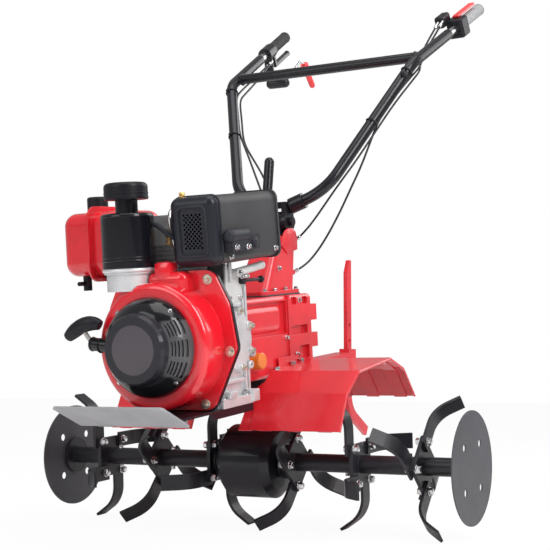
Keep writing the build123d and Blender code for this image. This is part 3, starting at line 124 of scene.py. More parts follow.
class Finish:   # a node tree under construction
    def __init__(self, tree):
        self.tree = tree
        tree.nodes.clear()

    def node(self, kind, settings=None, sockets=None, out=0):
        made = self.tree.nodes.new(kind)
        for key, value in (settings or {}).items():
            setattr(made, key, value)
        for key, value in (sockets or {}).items():
            if isinstance(value, Flow):
                self.tree.links.new(value.socket, made.inputs[key])
            else:
                made.inputs[key].default_value = value
        return Flow(self, made.outputs[out]) if made.outputs else None

    def place(self):
        return self.node("ShaderNodeTexCoord", out="Object")

    def onBody(self):   # metres from the axle, square to the machine
        settings = {"vector_type": "TEXTURE"}
        return self.node("ShaderNodeMapping", settings, {0: self.place(), 1: axle, 2: (0, pitch, 0)})

    def parts(self, vector):
        split = self.node("ShaderNodeSeparateXYZ", None, {0: vector})
        return [Flow(self, socket) for socket in split.socket.node.outputs]

    def noise(self, scale, detail=2.0, rough=0.5, stretch=None):
        where = self.place()
        if stretch:
            where = self.node("ShaderNodeMapping", None, {0: where, 3: stretch})
        sockets = {"Vector": where, "Scale": scale, "Detail": detail, "Roughness": rough}
        return self.node("ShaderNodeTexNoise", None, sockets)

    def blendColour(self, share, first, second):
        first, second = (c if isinstance(c, Flow) else (*c, 1) for c in (first, second))
        return self.node("ShaderNodeMix", {"data_type": "RGBA"}, {0: share, 6: first, 7: second}, out=2)

    def softEdge(self, width):   # the normal with its corners rounded off
        return self.node("ShaderNodeBevel", {"samples": 4}, {0: width})

    def edgeMask(self, rounded):
        true = self.node("ShaderNodeNewGeometry", out="Normal")
        meet = self.node("ShaderNodeVectorMath", {"operation": "DOT_PRODUCT"}, {0: rounded, 1: true}, out=1)
        return (1.0 - meet).between(0.02, 0.22)

    def bump(self, height, depth, normal=None):
        sockets = {"Strength": 1.0, "Distance": depth, "Height": height}
        if normal:
            sockets["Normal"] = normal
        return self.node("ShaderNodeBump", None, sockets)

    def surface(self, **sockets):
        named = {key.replace("_", " "): value for key, value in sockets.items()}
        shader = self.node("ShaderNodeBsdfPrincipled", None, named)
        self.node("ShaderNodeOutputMaterial", None, {0: shader})


def newFinish(name):
    material = bpy.data.materials.new(name)
    material.use_nodes = True
    return material, Finish(material.node_tree)


def shade(colour, by):
    return tuple(min(1.0, c * by) for c in colour)


# painted and moulded surfaces: colour, roughness, grain of the surface, wear on the corners
def paint(
    name, colour, rough, coat=0.0, grain=800.0, depth=0.00002, worn=(0.5, 0.5, 0.5), wear=0.2, drift=0.12, mirror=0.5
):
    material, f = newFinish(name)
    rounded = f.softEdge(0.0012)
    cloud = f.noise(7.0, 3.0)
    scuff = f.noise(60.0, 4.0, 0.6)
    tone = f.blendColour(cloud.between(0.3, 0.7), shade(colour, 1 - drift), shade(colour, 1 + drift))
    mask = f.edgeMask(rounded) * scuff.between(0.35, 0.65) * wear
    tone = f.blendColour(mask, tone, worn)
    shine = (cloud - 0.5) * 0.10 + (scuff - 0.5) * 0.12 + rough
    skin = f.bump(f.noise(grain, 2.0), depth, rounded)
    f.surface(
        Base_Color=tone, Roughness=shine, Normal=skin, Coat_Weight=coat, Coat_Roughness=0.05,
        Specular_IOR_Level=mirror,
    )
    return material


# bare metals: cast grain, brushed lines or plating
def metal(name, colour, rough, grain, depth, drift, stretch=None, metallic=1.0, edge=0.0008, dirt=0.0):
    material, f = newFinish(name)
    rounded = f.softEdge(edge)
    cloud = f.noise(12.0, 4.0, 0.6)
    grit = f.noise(grain, 4.0, 0.6, stretch)
    tone = f.blendColour(cloud.between(0.25, 0.75), shade(colour, 1 - drift), shade(colour, 1 + drift))
    tone = f.blendColour(grit.between(0.5, 0.75) * dirt, tone, shade(colour, 0.35))
    shine = (grit - 0.5) * 0.25 + rough
    f.surface(Base_Color=tone, Roughness=shine, Metallic=metallic, Normal=f.bump(grit, depth, rounded))
    return material


redSheet = paint("red_sheet_paint", (0.70, 0.010, 0.021), 0.22, 0.75, 500.0, 0.00002, (0.85, 0.25, 0.25), 0.35)
redCast = paint("red_cast_paint", (0.66, 0.013, 0.025), 0.38, 0.45, 260.0, 0.00012, (0.85, 0.3, 0.3), 0.4, 0.14)
redFender = paint("red_fender_paint", (0.66, 0.013, 0.023), 0.33, 0.5, 420.0, 0.00003, (0.85, 0.3, 0.3), 0.5)
tubeBlack = paint(
    "tube_black_paint", (0.010, 0.009, 0.013), 0.34, 0.25, 500.0, 0.000004, (0.05, 0.05, 0.06), 0.12, mirror=0.25
)
tineBlack = paint(
    "tine_black_paint", (0.014, 0.013, 0.017), 0.40, 0.1, 300.0, 0.00005, (0.2, 0.2, 0.21), 0.6, 0.25, 0.3
)
# the side discs are black satin paint; their dark grey colour here is a painted reflection of the light
discPaintedSheen = paint("disc_painted_sheen_grey", (0.052, 0.050, 0.058), 0.50, 0.0, 700.0, 0.00004, (0.3, 0.3, 0.31), 0.5, 0.2)
# the bumper is black painted steel; its grey colour here is a painted reflection of the studio light
bumperPaintedSheen = paint("bumper_painted_sheen_grey", (0.27, 0.27, 0.285), 0.45, 0.1, 800.0, 0.00003, (0.5, 0.5, 0.52), 0.6, 0.15)
guardBlack = paint(
    "guard_black_paint", (0.018, 0.019, 0.026), 0.5, 0.0, 900.0, 0.00004, (0.12, 0.12, 0.13), 0.5, mirror=0.3
)
canBlack = paint(
    "canister_gloss_black", (0.006, 0.006, 0.009), 0.20, 0.35, 400.0, 0.00001, (0.06, 0.06, 0.06), 0.2, mirror=0.25
)
capBlack = paint(
    "cap_black_plastic", (0.010, 0.010, 0.014), 0.40, 0.0, 1200.0, 0.00003, (0.07, 0.07, 0.07), 0.2, mirror=0.25
)
badgeDark = paint("badge_dark_plastic", (0.045, 0.035, 0.045), 0.22, 0.5, 900.0, 0.00001, (0.1, 0.1, 0.1), 0.2)
orangeCap = paint("orange_cap_plastic", (0.80, 0.22, 0.03), 0.35, 0.3, 700.0, 0.00003, (0.9, 0.5, 0.2), 0.3)
redPlastic = paint("red_lever_plastic", (0.75, 0.03, 0.035), 0.35, 0.2, 900.0, 0.00003, (0.9, 0.3, 0.3), 0.3)
gripBlack = paint("black_grip_rubber", (0.022, 0.022, 0.024), 0.62, 0.0, 1500.0, 0.00008, (0.1, 0.1, 0.1), 0.3)
gripGrey = paint("grey_grip_rubber", (0.33, 0.34, 0.35), 0.60, 0.0, 1500.0, 0.00008, (0.5, 0.5, 0.5), 0.3)
cableBlack = paint("cable_black_jacket", (0.014, 0.014, 0.016), 0.42, 0.0, 1800.0, 0.00003, (0.1, 0.1, 0.1), 0.1)
castAlloy = metal("cast_alloy", (0.66, 0.66, 0.675), 0.40, 420.0, 0.00018, 0.14, None, 0.5, 0.0015, 0.3)
brightSteel = metal("bright_steel", (0.62, 0.62, 0.63), 0.24, 300.0, 0.00002, 0.10, (1, 12, 12))
zincBolt = metal("zinc_bolt", (0.66, 0.62, 0.52), 0.28, 500.0, 0.00003, 0.15)
brass = metal("brass", (0.75, 0.48, 0.16), 0.30, 500.0, 0.00003, 0.15)
ropePale = paint("pale_rope", (0.50, 0.48, 0.45), 0.7, 0.0, 1500.0, 0.0002)
paleTube = paint("pale_lever_sleeve", (0.60, 0.60, 0.59), 0.45, 0.1, 900.0, 0.00003)
gasketDark = paint("dark_gasket", (0.05, 0.05, 0.055), 0.6, 0.0, 900.0, 0.0001)


# metres from the axle: the bell's height, the ring's edge and front, the vents' near side and half height squared
starterSet = {
    "height": 0.276, "ringEdge": (0.0685, 0.0700), "ringFront": (0.417, 0.420),
    "ventSide": (0.045, 0.060), "ventReach": (0.0024, 0.0030),
}


def starterFinish(name):   # gloss bell, matt front ring and a greyer field round the vents, which is a painted reflection of the light from the machine's left
    s = starterSet
    material, f = newFinish(name)
    x, y, z = f.parts(f.onBody())
    z = z - s["height"]
    reach = (y * y + z * z) ** 0.5
    ring = (1.0 - reach.between(*s["ringEdge"])) * x.between(*s["ringFront"])
    ventSheen = y.between(*s["ventSide"]) * (1.0 - (z * z).between(*s["ventReach"])) * (1.0 - ring)
    rounded = f.softEdge(0.0010)
    speck = f.noise(900.0, 2.0)
    cloud = f.noise(9.0, 3.0)
    tone = f.blendColour(ring, (0.008, 0.008, 0.010), (0.014, 0.014, 0.020))
    # painted reflection: the bell round the vents on the machine's left is lightened to grey
    tone = f.blendColour(ventSheen * 0.8, tone, (0.085, 0.085, 0.090))
    shine = ring * 0.36 + ventSheen * 0.22 + cloud * 0.06 + 0.11
    skin = f.bump(speck, 0.00003, rounded)
    f.surface(
        Base_Color=tone, Roughness=shine, Normal=skin, Coat_Weight=0.35, Coat_Roughness=0.08, Specular_IOR_Level=0.25
    )
    return material


starterBlack = starterFinish("starter_black_plastic")


def mufflerFinish(name):   # heat paint, glossier and bluer on the pressed front; the front's darker tone is painted shade, and the lighter edges are a painted highlight
    material, f = newFinish(name)
    x, y, z = f.parts(f.onBody())
    # painted shade: the front face is darkened as though it faced away from the lamps; its blue tint is the front
    # cover's own colour
    front = x.between(0.316, 0.328)
    rounded = f.softEdge(0.0012)
    speck = f.noise(1100.0, 2.0)
    cloud = f.noise(8.0, 3.0)
    tone = f.blendColour(cloud.between(0.3, 0.7), (0.030, 0.029, 0.032), (0.044, 0.043, 0.046))
    tone = f.blendColour(front, tone, (0.011, 0.012, 0.019))
    # painted highlight: the rounded edges are lightened towards grey
    tone = f.blendColour(f.edgeMask(rounded) * 0.25, tone, (0.16, 0.16, 0.17))
    shine = cloud * 0.08 + 0.46 - front * 0.16
    skin = f.bump(speck, 0.00004, rounded)
    f.surface(Base_Color=tone, Roughness=shine, Normal=skin, Specular_IOR_Level=0.35)
    return material


mufflerGrey = mufflerFinish("muffler_heat_paint")

finishOf = {
    "axle_shaft": brightSteel, "tine_reel_left": tineBlack, "tine_reel_right": tineBlack, "side_disc_left": discPaintedSheen,
    "side_disc_right": discPaintedSheen, "final_drive": tubeBlack, "gearbox": redCast, "gear_tower": redCast,
    "handle_bracket": tubeBlack, "shift_lever": tubeBlack, "fan_shroud": redSheet, "shroud_backing": tubeBlack,
    "recoil_starter": starterBlack, "recoil_badge": badgeDark, "rope_grip": capBlack, "crankcase": castAlloy,
    "cylinder": castAlloy, "rocker_cover": castAlloy, "air_base": castAlloy, "air_can": canBlack, "air_cap": capBlack,
    "fuel_tank": redSheet, "tank_cap": capBlack, "fuel_tap": capBlack, "tank_shelf": tubeBlack, "muffler": mufflerGrey,
    "muffler_guard": guardBlack, "muffler_outlet": guardBlack, "exhaust_elbow": castAlloy, "speed_control": paleTube,
    "stop_lever": capBlack, "oil_cap": orangeCap, "engine_bed": tubeBlack, "bumper": bumperPaintedSheen,
    "fender_left": redFender, "fender_right": redFender, "hitch": redCast,
    "drag_stake": redCast, "handle_clamp": tubeBlack,
    "handle_tube_left": tubeBlack, "handle_tube_right": tubeBlack, "grip_bar_left": brightSteel,
    "grip_bar_right": brightSteel, "cross_tube": tubeBlack, "grip_left": gripGrey, "grip_right": gripBlack,
    "throttle_housing": capBlack, "throttle_lever": redPlastic, "clutch_perch": tubeBlack, "clutch_lever": tubeBlack,
    "side_lever": brightSteel, "side_sleeve": redPlastic, "control_cables": cableBlack,
}
for name, finish in finishOf.items():
    slots = nodes[name].material_slots
    if slots:
        for each in slots:
            each.material = finish
    else:
        nodes[name].data.materials.append(finish)
print("finishes on", len(finishOf), "parts of the frame")


def grown(bm, count):   # what a bmesh has gained since it held count points
    bm.verts.ensure_lookup_table()
    return bm.verts[count:]


def spot(point, along, base=bodyPlace, roll=0.0):   # local millimetres with Z along a direction
    facing = Vector(along).to_track_quat("Z", "Y").to_matrix().to_4x4()
    return base @ Matrix.Translation(point) @ facing @ Matrix.Rotation(roll, 4, "Z")


def lathe(bm, profile, steps=28):   # (radius, height) points turned round local Z
    count = len(bm.verts)
    points = [bm.verts.new((radius, 0, height)) for radius, height in profile]
    lines = [bm.edges.new(pair) for pair in zip(points, points[1:])]
    bmesh.ops.spin(bm, geom=points + lines, cent=(0, 0, 0), axis=(0, 0, 1), angle=2 * pi, steps=steps, use_merge=True)
    return grown(bm, count)


def block(bm, size, soft, segments=2):   # a box with its edges rounded, centred
    count = len(bm.verts)
    bmesh.ops.create_cube(bm, size=1.0)
    bmesh.ops.scale(bm, vec=size, verts=grown(bm, count))
    edges = {e for v in grown(bm, count) for e in v.link_edges}
    bmesh.ops.bevel(bm, geom=list(edges), offset=soft, segments=segments, profile=0.5, affect="EDGES", material=-1)
    return grown(bm, count)


def added(bm, place, build):   # a shape made by itself, then set in its place
    single = bmesh.new()
    build(single)
    bmesh.ops.transform(single, matrix=place, verts=single.verts)
    holder = bpy.data.meshes.new("holder")
    single.to_mesh(holder)
    single.free()
    bm.from_mesh(holder)
    bpy.data.meshes.remove(holder)


def hexBolt(bm, size):   # head and washer on local Z, standing on 0
    count = len(bm.verts)
    thick, radius = size["thick"], size["flats"] / 2 / cos(pi / 6)
    bmesh.ops.create_cone(bm, cap_ends=True, segments=6, radius1=radius, radius2=radius, depth=size["head"])
    bmesh.ops.translate(bm, vec=(0, 0, thick + size["head"] / 2), verts=grown(bm, count))
    top = thick + size["head"] - 1e-4
    rim = {e for v in grown(bm, count) for e in v.link_edges if all(p.co.z > top for p in e.verts)}
    bmesh.ops.bevel(bm, geom=list(rim), offset=radius * 0.14, segments=2, profile=0.5, affect="EDGES", material=-1)
    wide = size["washer"]
    lathe(bm, [(0, 0), (wide, 0), (wide, thick * 0.7), (wide - thick * 0.3, thick), (0, thick)], 20)


def settle(name, bm, finish, body, crease=38):
    bmesh.ops.remove_doubles(bm, verts=bm.verts, dist=1e-6)
    bmesh.ops.recalc_face_normals(bm, faces=bm.faces)
    mesh = bpy.data.meshes.new(name)
    bm.to_mesh(mesh)
    bm.free()
    mesh.shade_smooth()
    mesh.set_sharp_from_angle(angle=radians(crease))
    mesh.materials.append(finish)
    piece = bpy.data.objects.new(name, mesh)
    bpy.context.scene.collection.objects.link(piece)
    if body:
        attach(piece, body)
    return piece


def boltSet(name, size, places, finish, body, base=bodyPlace):
    bm = bmesh.new()
    for i, (point, along) in enumerate(places):
        added(bm, spot(point, along, base, 0.4 * i), lambda single: hexBolt(single, size))
    return settle(name, bm, finish, body)


def smoothLine(name, points, resolution=6, radii=None):   # a NURBS line through space, row metres
    curve = bpy.data.curves.new(name, "CURVE")
    curve.dimensions = "3D"
    curve.resolution_u = resolution
    line = curve.splines.new("NURBS")
    line.points.add(len(points) - 1)
    for knot, place in zip(line.points, points):
        knot.co = (*place, 1)
    for knot, share in zip(line.points, radii or []):
        knot.radius = share
    line.order_u = 3
    line.use_endpoint_u = True
    return bpy.data.objects.new(name, curve)


def lineMesh(carrier, radius=0.0, sides=2):
    carrier.data.bevel_depth = radius
    carrier.data.bevel_resolution = sides
    carrier.data.use_fill_caps = True
    bpy.context.scene.collection.objects.link(carrier)
    bpy.context.view_layer.update()
    mesh = bpy.data.meshes.new_from_object(carrier.evaluated_get(bpy.context.evaluated_depsgraph_get()))
    bpy.context.scene.collection.objects.unlink(carrier)
    return mesh


def tubePiece(name, points, radius, finish, body, sides=3, base=bodyPlace, radii=None):
    line = smoothLine(name + "_line", [base @ Vector(p) for p in points], 6, radii)
    mesh = lineMesh(line, radius, sides)
    bm = bmesh.new()
    bm.from_mesh(mesh)
    bpy.data.meshes.remove(mesh)
    return settle(name, bm, finish, body, 60)


# control cables: from the hand controls down to the gear tower, one smooth line each
cableSet = {
    "radius": 0.0025,
    "routes": {
        "cable_speed": [
            (-586, 250, 992), (-556, 240, 957), (-500, 234, 910), (-447, 243, 870), (-403, 238, 845), (-362, 211, 797),
            (-320, 185, 742), (-298, 170, 688), (-281, 152, 634), (-268, 130, 586), (-258, 106, 536), (-246, 78, 484),
            (-226, 54, 441), (-196, 36, 412), (-166, 25, 402),
        ],
        "cable_stop": [
            (-586, 238, 990), (-552, 226, 950), (-498, 222, 899), (-440, 247, 862), (-398, 246, 838), (-345, 215, 778),
            (-290, 182, 704), (-243, 154, 641), (-209, 131, 597), (-196, 103, 557), (-194, 74, 522), (-192, 47, 493),
            (-183, 25, 472),
        ],
        "cable_clutch": [
            (-632, -263, 955), (-570, -258, 925), (-508, -252, 895), (-449, -246, 868), (-404, -239, 845),
            (-364, -212, 795), (-324, -188, 744), (-297, -162, 712), (-269, -135, 680), (-242, -107, 641),
            (-220, -80, 598), (-212, -60, 553), (-204, -41, 510), (-184, -25, 481),
        ],
        "cable_gear": [
            (-626, -252, 960), (-566, -245, 922), (-504, -238, 889), (-447, -234, 858), (-404, -229, 836),
            (-368, -205, 785), (-333, -184, 733), (-312, -164, 706), (-295, -140, 680), (-281, -117, 654),
            (-268, -95, 626), (-256, -72, 583), (-245, -54, 536), (-232, -42, 488), (-213, -33, 444), (-190, -28, 413),
            (-166, -25, 402),
        ],
    },
    "leaves": 5,   # the point where a cable leaves the handle tube
}


def controlCables():
    for name, route in cableSet["routes"].items():
        points = [bodyPlace @ Vector(p) for p in route]
        path = [v.co.copy() for v in lineMesh(smoothLine(name + "_path", points)).vertices]
        mesh = lineMesh(smoothLine(name + "_line", points), cableSet["radius"], 2)
        bm = bmesh.new()
        bm.from_mesh(mesh)
        bpy.data.meshes.remove(mesh)
        cable = settle(name, bm, cableBlack, None, 60)
        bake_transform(cable)
        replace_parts(cable, "control_cables")


controlCables()

# bolts of the engine
shroudBoltSet = {
    "size": {"flats": 11.0, "head": 6.0, "washer": 10.0, "thick": 2.0},
    "face": 318.0,
    "places": [(93, 400), (135, 262), (76, 162), (-135, 262), (-76, 162)],
}
shroudPlaces = [((shroudBoltSet["face"], y, z), (1, 0, 0)) for y, z in shroudBoltSet["places"]]
boltSet("shroud_bolts", shroudBoltSet["size"], shroudPlaces, zincBolt, "frame")

# bolts of the tines, one through each hub corner
tineBoltSet = {
    "head": {"flats": 13.0, "head": 7.0, "washer": 9.0, "thick": 1.5},
    "nut": {"flats": 13.0, "head": 9.0, "washer": 9.0, "thick": 1.5},
    "hubs": (96.0, 245.0, 386.0),
    "circle": 50.0,
    "hubHalf": 4.0,
    "tine": 6.0,
}


def tineBolts(name, side, firstIsDiamond, bends):
    s = tineBoltSet
    bm = bmesh.new()
    for i, hub in enumerate(s["hubs"]):
        diamond = firstIsDiamond if i != 1 else not firstIsDiamond
        for corner in range(4):
            angle = radians((-90 if diamond else -135) + 90 * corner)
            bend = bends[i] * side if corner % 2 == 0 else -bends[i] * side
            x, z = s["circle"] * cos(angle), s["circle"] * sin(angle)
            for size, way, stand in ((s["head"], bend, s["hubHalf"] + s["tine"]), (s["nut"], -bend, s["hubHalf"])):
                place = spot((x, side * hub + way * stand, z), (0, way, 0), reelPlace, corner * 0.5)
                added(bm, place, lambda single: hexBolt(single, size))
    settle(name, bm, brightSteel, "tine_rotor")


tineBolts("tine_bolts_left", 1, True, (-1, -1, 1))
tineBolts("tine_bolts_right", -1, False, (-1, 1, 1))
print("bolts set")


def ring(bm, radius, thick, place, steps=36, sides=8):   # a round bead about local Z
    angles = [2 * pi * i / sides for i in range(sides + 1)]
    added(bm, place, lambda single: lathe(single, [(radius + thick * cos(a), thick * sin(a)) for a in angles], steps))


def turnedPart(bm, profile, place, steps=28):
    added(bm, place, lambda single: lathe(single, profile, steps))


def softBlock(bm, size, soft, place):
    added(bm, place, lambda single: block(single, size, soft))


def roundedOutline(wide, tall, corner, steps=6):
    points = []
    for sideX, sideY, first in ((1, 1, 0), (-1, 1, 90), (-1, -1, 180), (1, -1, 270)):
        for i in range(steps + 1):
            a = radians(first + 90 * i / steps)
            x = sideX * (wide / 2 - corner) + corner * cos(a)
            points.append((x, sideY * (tall / 2 - corner) + corner * sin(a)))
    return points


def flatPlate(bm, outline, thick):   # on local XY, from 0 up
    low = [bm.verts.new((x, y, 0)) for x, y in outline]
    high = [bm.verts.new((x, y, thick)) for x, y in outline]
    caps = [bm.faces.new(low), bm.faces.new(high)]
    for i in range(len(outline)):
        j = (i + 1) % len(outline)
        bm.faces.new((low[i], low[j], high[j], high[i]))
    rim = {e for face in caps for e in face.edges}
    bmesh.ops.bevel(bm, geom=list(rim), offset=thick * 0.22, segments=2, profile=0.5, affect="EDGES", material=-1)


def rimTube(bm, outline, radius, sides=8):   # a bead along a closed outline on local XY
    rings = []
    turns = [2 * pi * k / sides for k in range(sides)]
    for i, (x, y) in enumerate(outline):
        before, after = outline[i - 1], outline[(i + 1) % len(outline)]
        out = Vector((after[1] - before[1], before[0] - after[0])).normalized()
        rings.append([
            bm.verts.new((x + out.x * radius * cos(a), y + out.y * radius * cos(a), radius * sin(a))) for a in turns
        ])
    for i, first in enumerate(rings):
        second = rings[(i + 1) % len(rings)]
        for k in range(sides):
            bm.faces.new((first[k], second[k], second[(k + 1) % sides], first[(k + 1) % sides]))


def coil(start, along, radius, turns, pitch, steps=12):   # points of a spring, body millimetres
    place = Matrix.Translation(start) @ Vector(along).to_track_quat("Z", "Y").to_matrix().to_4x4()
    angles = [2 * pi * i / steps for i in range(turns * steps + 1)]
    return [place @ Vector((radius * cos(a), radius * sin(a), pitch * a / (2 * pi))) for a in angles]


# small bolts of the engine, gearbox, tower and fenders, each a point and the way its head faces
smallBolt = {"flats": 8.0, "head": 5.0, "washer": 6.0, "thick": 1.5}
bossBolt = {"flats": 9.0, "head": 5.5, "washer": 6.5, "thick": 1.2}
tabBolt = {"flats": 12.0, "head": 7.0, "washer": 10.0, "thick": 2.0}
footBolt = {"flats": 7.5, "head": 5.0, "washer": 4.6, "thick": 1.0}
bellTurns = [radians(a) for a in (49, -45, 131, -135)]
gearboxPlaces = ((-106, 340), (-84, 222), (-40, 262))
boltGroups = {
    "starter_bolts": (smallBolt, [
        ((398.5, 88.5 * cos(a), 276 + 88.5 * sin(a)), (0.75, 0.66 * cos(a), 0.66 * sin(a))) for a in bellTurns
    ]),
    "cover_bolts": (bossBolt, [
        ((209 + 58 * cos(2 * pi * i / 7), 92, 276 + 58 * sin(2 * pi * i / 7)), (0, 1, 0)) for i in range(7)
    ]),
    "control_screws": (smallBolt, [
        (point, (0, 1, 0)) for point in ((228, 84, 360), (184, 84, 360), (205, 98.5, 409))
    ]),
    "tower_bolts": (footBolt, [((x, y, 364), (0, 0, 1)) for x in (8, -36, -84, -134) for y in (45.2, -45.2)]),
    "tower_side_bolts": (smallBolt, [((-74, 36.3, 412), (0, 1, 0.07)), ((-74, -36.3, 412), (0, -1, 0.07))]),
    "gearbox_bolts": (smallBolt, [
        ((x, side * 66, z), (0, side, 0)) for x, z in gearboxPlaces for side in (1, -1)
    ]),
    "fender_bolts": (tabBolt, [
        ((x, side * 78, 199.1 - 0.0745 * x), (0.07, 0, 1)) for x in (32, -41, -80) for side in (1, -1)
    ]),
    "foot_bolts": (bossBolt, [((x, side * 88.5, 165), (0, 0, 1)) for x in (184, 272) for side in (1, -1)]),
}
for name, (size, places) in boltGroups.items():
    boltSet(name, size, places, zincBolt if name == "cover_bolts" else brightSteel, "frame")
print("small bolts set")

# starter grip, its stem and the boss that it comes out of
pullSet = {
    "grip": [(404, -100, 322), (406, -112, 328), (408, -139, 324), (407, -162, 311), (405, -176, 301)],
    "radii": [0.66, 0.96, 1.0, 0.98, 0.70], "radius": 0.0150,
    "stem": [(400, -123, 287), (403, -130, 298), (406, -137, 312)], "stemRadius": 0.0046,
    "eyes": (((398, -123, 286), 11.0, 3.4), ((398, -104, 283), 13.4, 1.6)),
}
pull = tubePiece(
    "pull_grip", pullSet["grip"], pullSet["radius"], capBlack, "frame", 5, radii=pullSet["radii"]
)
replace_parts(pull, "rope_grip")
tubePiece("pull_stem", pullSet["stem"], pullSet["stemRadius"], ropePale, "frame", 3)
bm = bmesh.new()
for point, radius, thick in pullSet["eyes"]:
    ring(bm, radius, thick, spot(point, (0, -1, 0.1)))
settle("pull_eye", bm, capBlack, "frame")

# the silencer sits a little more nose down than the machine: beads, bolts and the outlet's dome
mufflerSet = {
    "middle": (213, 0, 499.5), "pitch": radians(3.5),
    "beads": (((346.4, 82, 499.5), (62.0, 94.0, 11.0), 2.6), ((322, 81, 499.5), (102.0, 133.0, 17.0), 2.2)),
    "bolts": ((306, 152, 464), (262, 152, 462), (296, 132, 446), (116, 132, 449)),
    "dome": [(0, 9.0), (6.0, 8.0), (10.5, 4.5), (13.0, 0.0), (13.0, -4.0)],
    "plug": [(0, 7.0), (5.0, 6.0), (9.0, 2.5), (10.0, 0.0), (12.5, 0.0), (12.5, -1.0)],
    "nut": {"flats": 11.0, "head": 8.0, "washer": 7.0, "thick": 1.5},
}
middle = Vector(mufflerSet["middle"])
tipped = Matrix.Translation(middle) @ Matrix.Rotation(mufflerSet["pitch"], 4, "Y") @ Matrix.Translation(-middle)
mufflerPlace = bodyPlace @ tipped
forward = Matrix.Rotation(pi / 2, 4, "Z") @ Matrix.Rotation(pi / 2, 4, "X")   # local Z to the front
bm = bmesh.new()
for point, outlineSize, bead in mufflerSet["beads"]:
    outline = roundedOutline(*outlineSize)
    added(bm, mufflerPlace @ Matrix.Translation(point) @ forward, lambda single: rimTube(single, outline, bead))
settle("muffler_beads", bm, guardBlack, "frame")
outletPlaces = [(point, (0, 1, 0)) for point in mufflerSet["bolts"]]
boltSet("outlet_bolts", smallBolt, outletPlaces, brightSteel, "frame", mufflerPlace)
bm = bmesh.new()
turnedPart(bm, mufflerSet["dome"], spot((318, 145, 486), (1, 0, 0), mufflerPlace))
ring(bm, 11.6, 2.0, spot((256, 145, 486), (1, 0, 0), mufflerPlace), 28)
turnedPart(bm, mufflerSet["plug"], spot((234, 152, 470), (0, 1, 0), mufflerPlace))
settle("outlet_dome", bm, guardBlack, "frame")
nutPlaces = [((318, 48, 566), (0, 0, 1))]
boltSet("muffler_nut", mufflerSet["nut"], nutPlaces, brass, "frame", mufflerPlace)

# air cleaner: beads on the can and on the cap, each a height, a radius and a thickness
canSet = {
    "place": (342, -68),
    "can_beads": (((443, 52.2, 1.8), (449, 52.2, 1.2), (528, 52.1, 1.0)), canBlack, "black_paint"),
    "cap_beads": (((566, 43.0, 1.3), (574, 43.1, 1.0)), capBlack, "black_plastic"),
    "rim": [(49.0, -4.5), (51.5, -4.0), (52.5, -2.0), (52.5, 2.0), (51.0, 3.2), (49.0, 3.4)],
}
for name in ("can_beads", "cap_beads"):
    beads, finish, slotName = canSet[name]
    bm = bmesh.new()
    for height, radius, thick in beads:
        ring(bm, radius, thick, spot((*canSet["place"], height), (0, 0, 1)), 64)
    settle(name, bm, finish, "frame", 60)
bm = bmesh.new()
turnedPart(bm, canSet["rim"], spot((*canSet["place"], 425), (0, 0, 1)), 64)
softBlock(bm, (16, 12, 20), 2.5, spot((318, -15, 412), (0, 0, 1)))
settle("air_base_rim", bm, castAlloy, "frame", 60)

# fuel pipe, strap, springs and nuts that show between the air cleaner and the silencer
headPipe = [(296, 12, 436), (300, 14, 462), (304, 8, 492), (300, 2, 522), (286, -2, 540), (262, -4, 544)]
headStrap = [(330, -20, 512), (332, -6, 510), (334, 10, 498), (330, 24, 486), (320, 30, 480)]
governorSpring = coil((296, -4, 470), (0.1, 0.25, 1), 6.5, 8, 4.2)
leverSpring = coil((196, 97, 400), (-1, 0, 0.06), 3.6, 9, 3.2)
tubePiece("head_pipe", headPipe, 0.0042, brightSteel, "frame")
tubePiece("head_strap", headStrap, 0.0052, guardBlack, "frame")
tubePiece("governor_spring", governorSpring, 0.0011, brass, "frame", 1)
tubePiece("lever_spring", leverSpring, 0.0008, brightSteel, "frame", 1)
headBolts = [
    ((282, 10, 488), (1, 0, 0)), ((282, -12, 488), (1, 0, 0)),
    ((270, 8, 530), (0, 0, 1)), ((300, 14, 464), (0.1, 0, 1)),
]
boltSet("head_bolts", bossBolt, headBolts, brass, "frame")

# gasket under the tower's foot
gasketSet = {"place": (-65, 0, 353.0), "wide": 173.0, "tall": 103.0, "corner": 15.0, "thick": 3.4}
bm = bmesh.new()
sheet = roundedOutline(gasketSet["wide"], gasketSet["tall"], gasketSet["corner"])
gasketPlace = bodyPlace @ Matrix.Translation(gasketSet["place"])
added(bm, gasketPlace, lambda single: flatPlate(single, sheet, gasketSet["thick"]))
settle("tower_gasket", bm, gasketDark, "frame")

# rolled hem along the fenders' edges
hemSet = {
    "profile": [(144, 87), (103, 157), (42, 196), (-119, 208), (-190, 179), (-246, 113)],
    "radius": 0.0026, "side": 271.4, "drop": 1.2,
}
for name, side in (("fender_hem_left", 1), ("fender_hem_right", -1)):
    route = []
    for (x0, z0), (x1, z1) in zip(hemSet["profile"], hemSet["profile"][1:]):
        for share in (0.02, 0.5, 0.98):
            x, z = x0 + (x1 - x0) * share, z0 + (z1 - z0) * share - hemSet["drop"]
            route.append((x, side * hemSet["side"], z))
    tubePiece(name, route, hemSet["radius"], redFender, "frame", 2)

# pins through the reels' tubes
pinSet = {"size": {"flats": 9.0, "head": 6.0, "washer": 5.5, "thick": 1.0}, "places": (216.0, 357.0), "radius": 18.2}
pins = []
for side in (1, -1):
    for place in pinSet["places"]:
        for way in (1, -1):
            pins.append(((0, side * place, way * pinSet["radius"]), (0, 0, way)))
boltSet("tube_pins", pinSet["size"], pins, brightSteel, "tine_rotor", reelPlace)

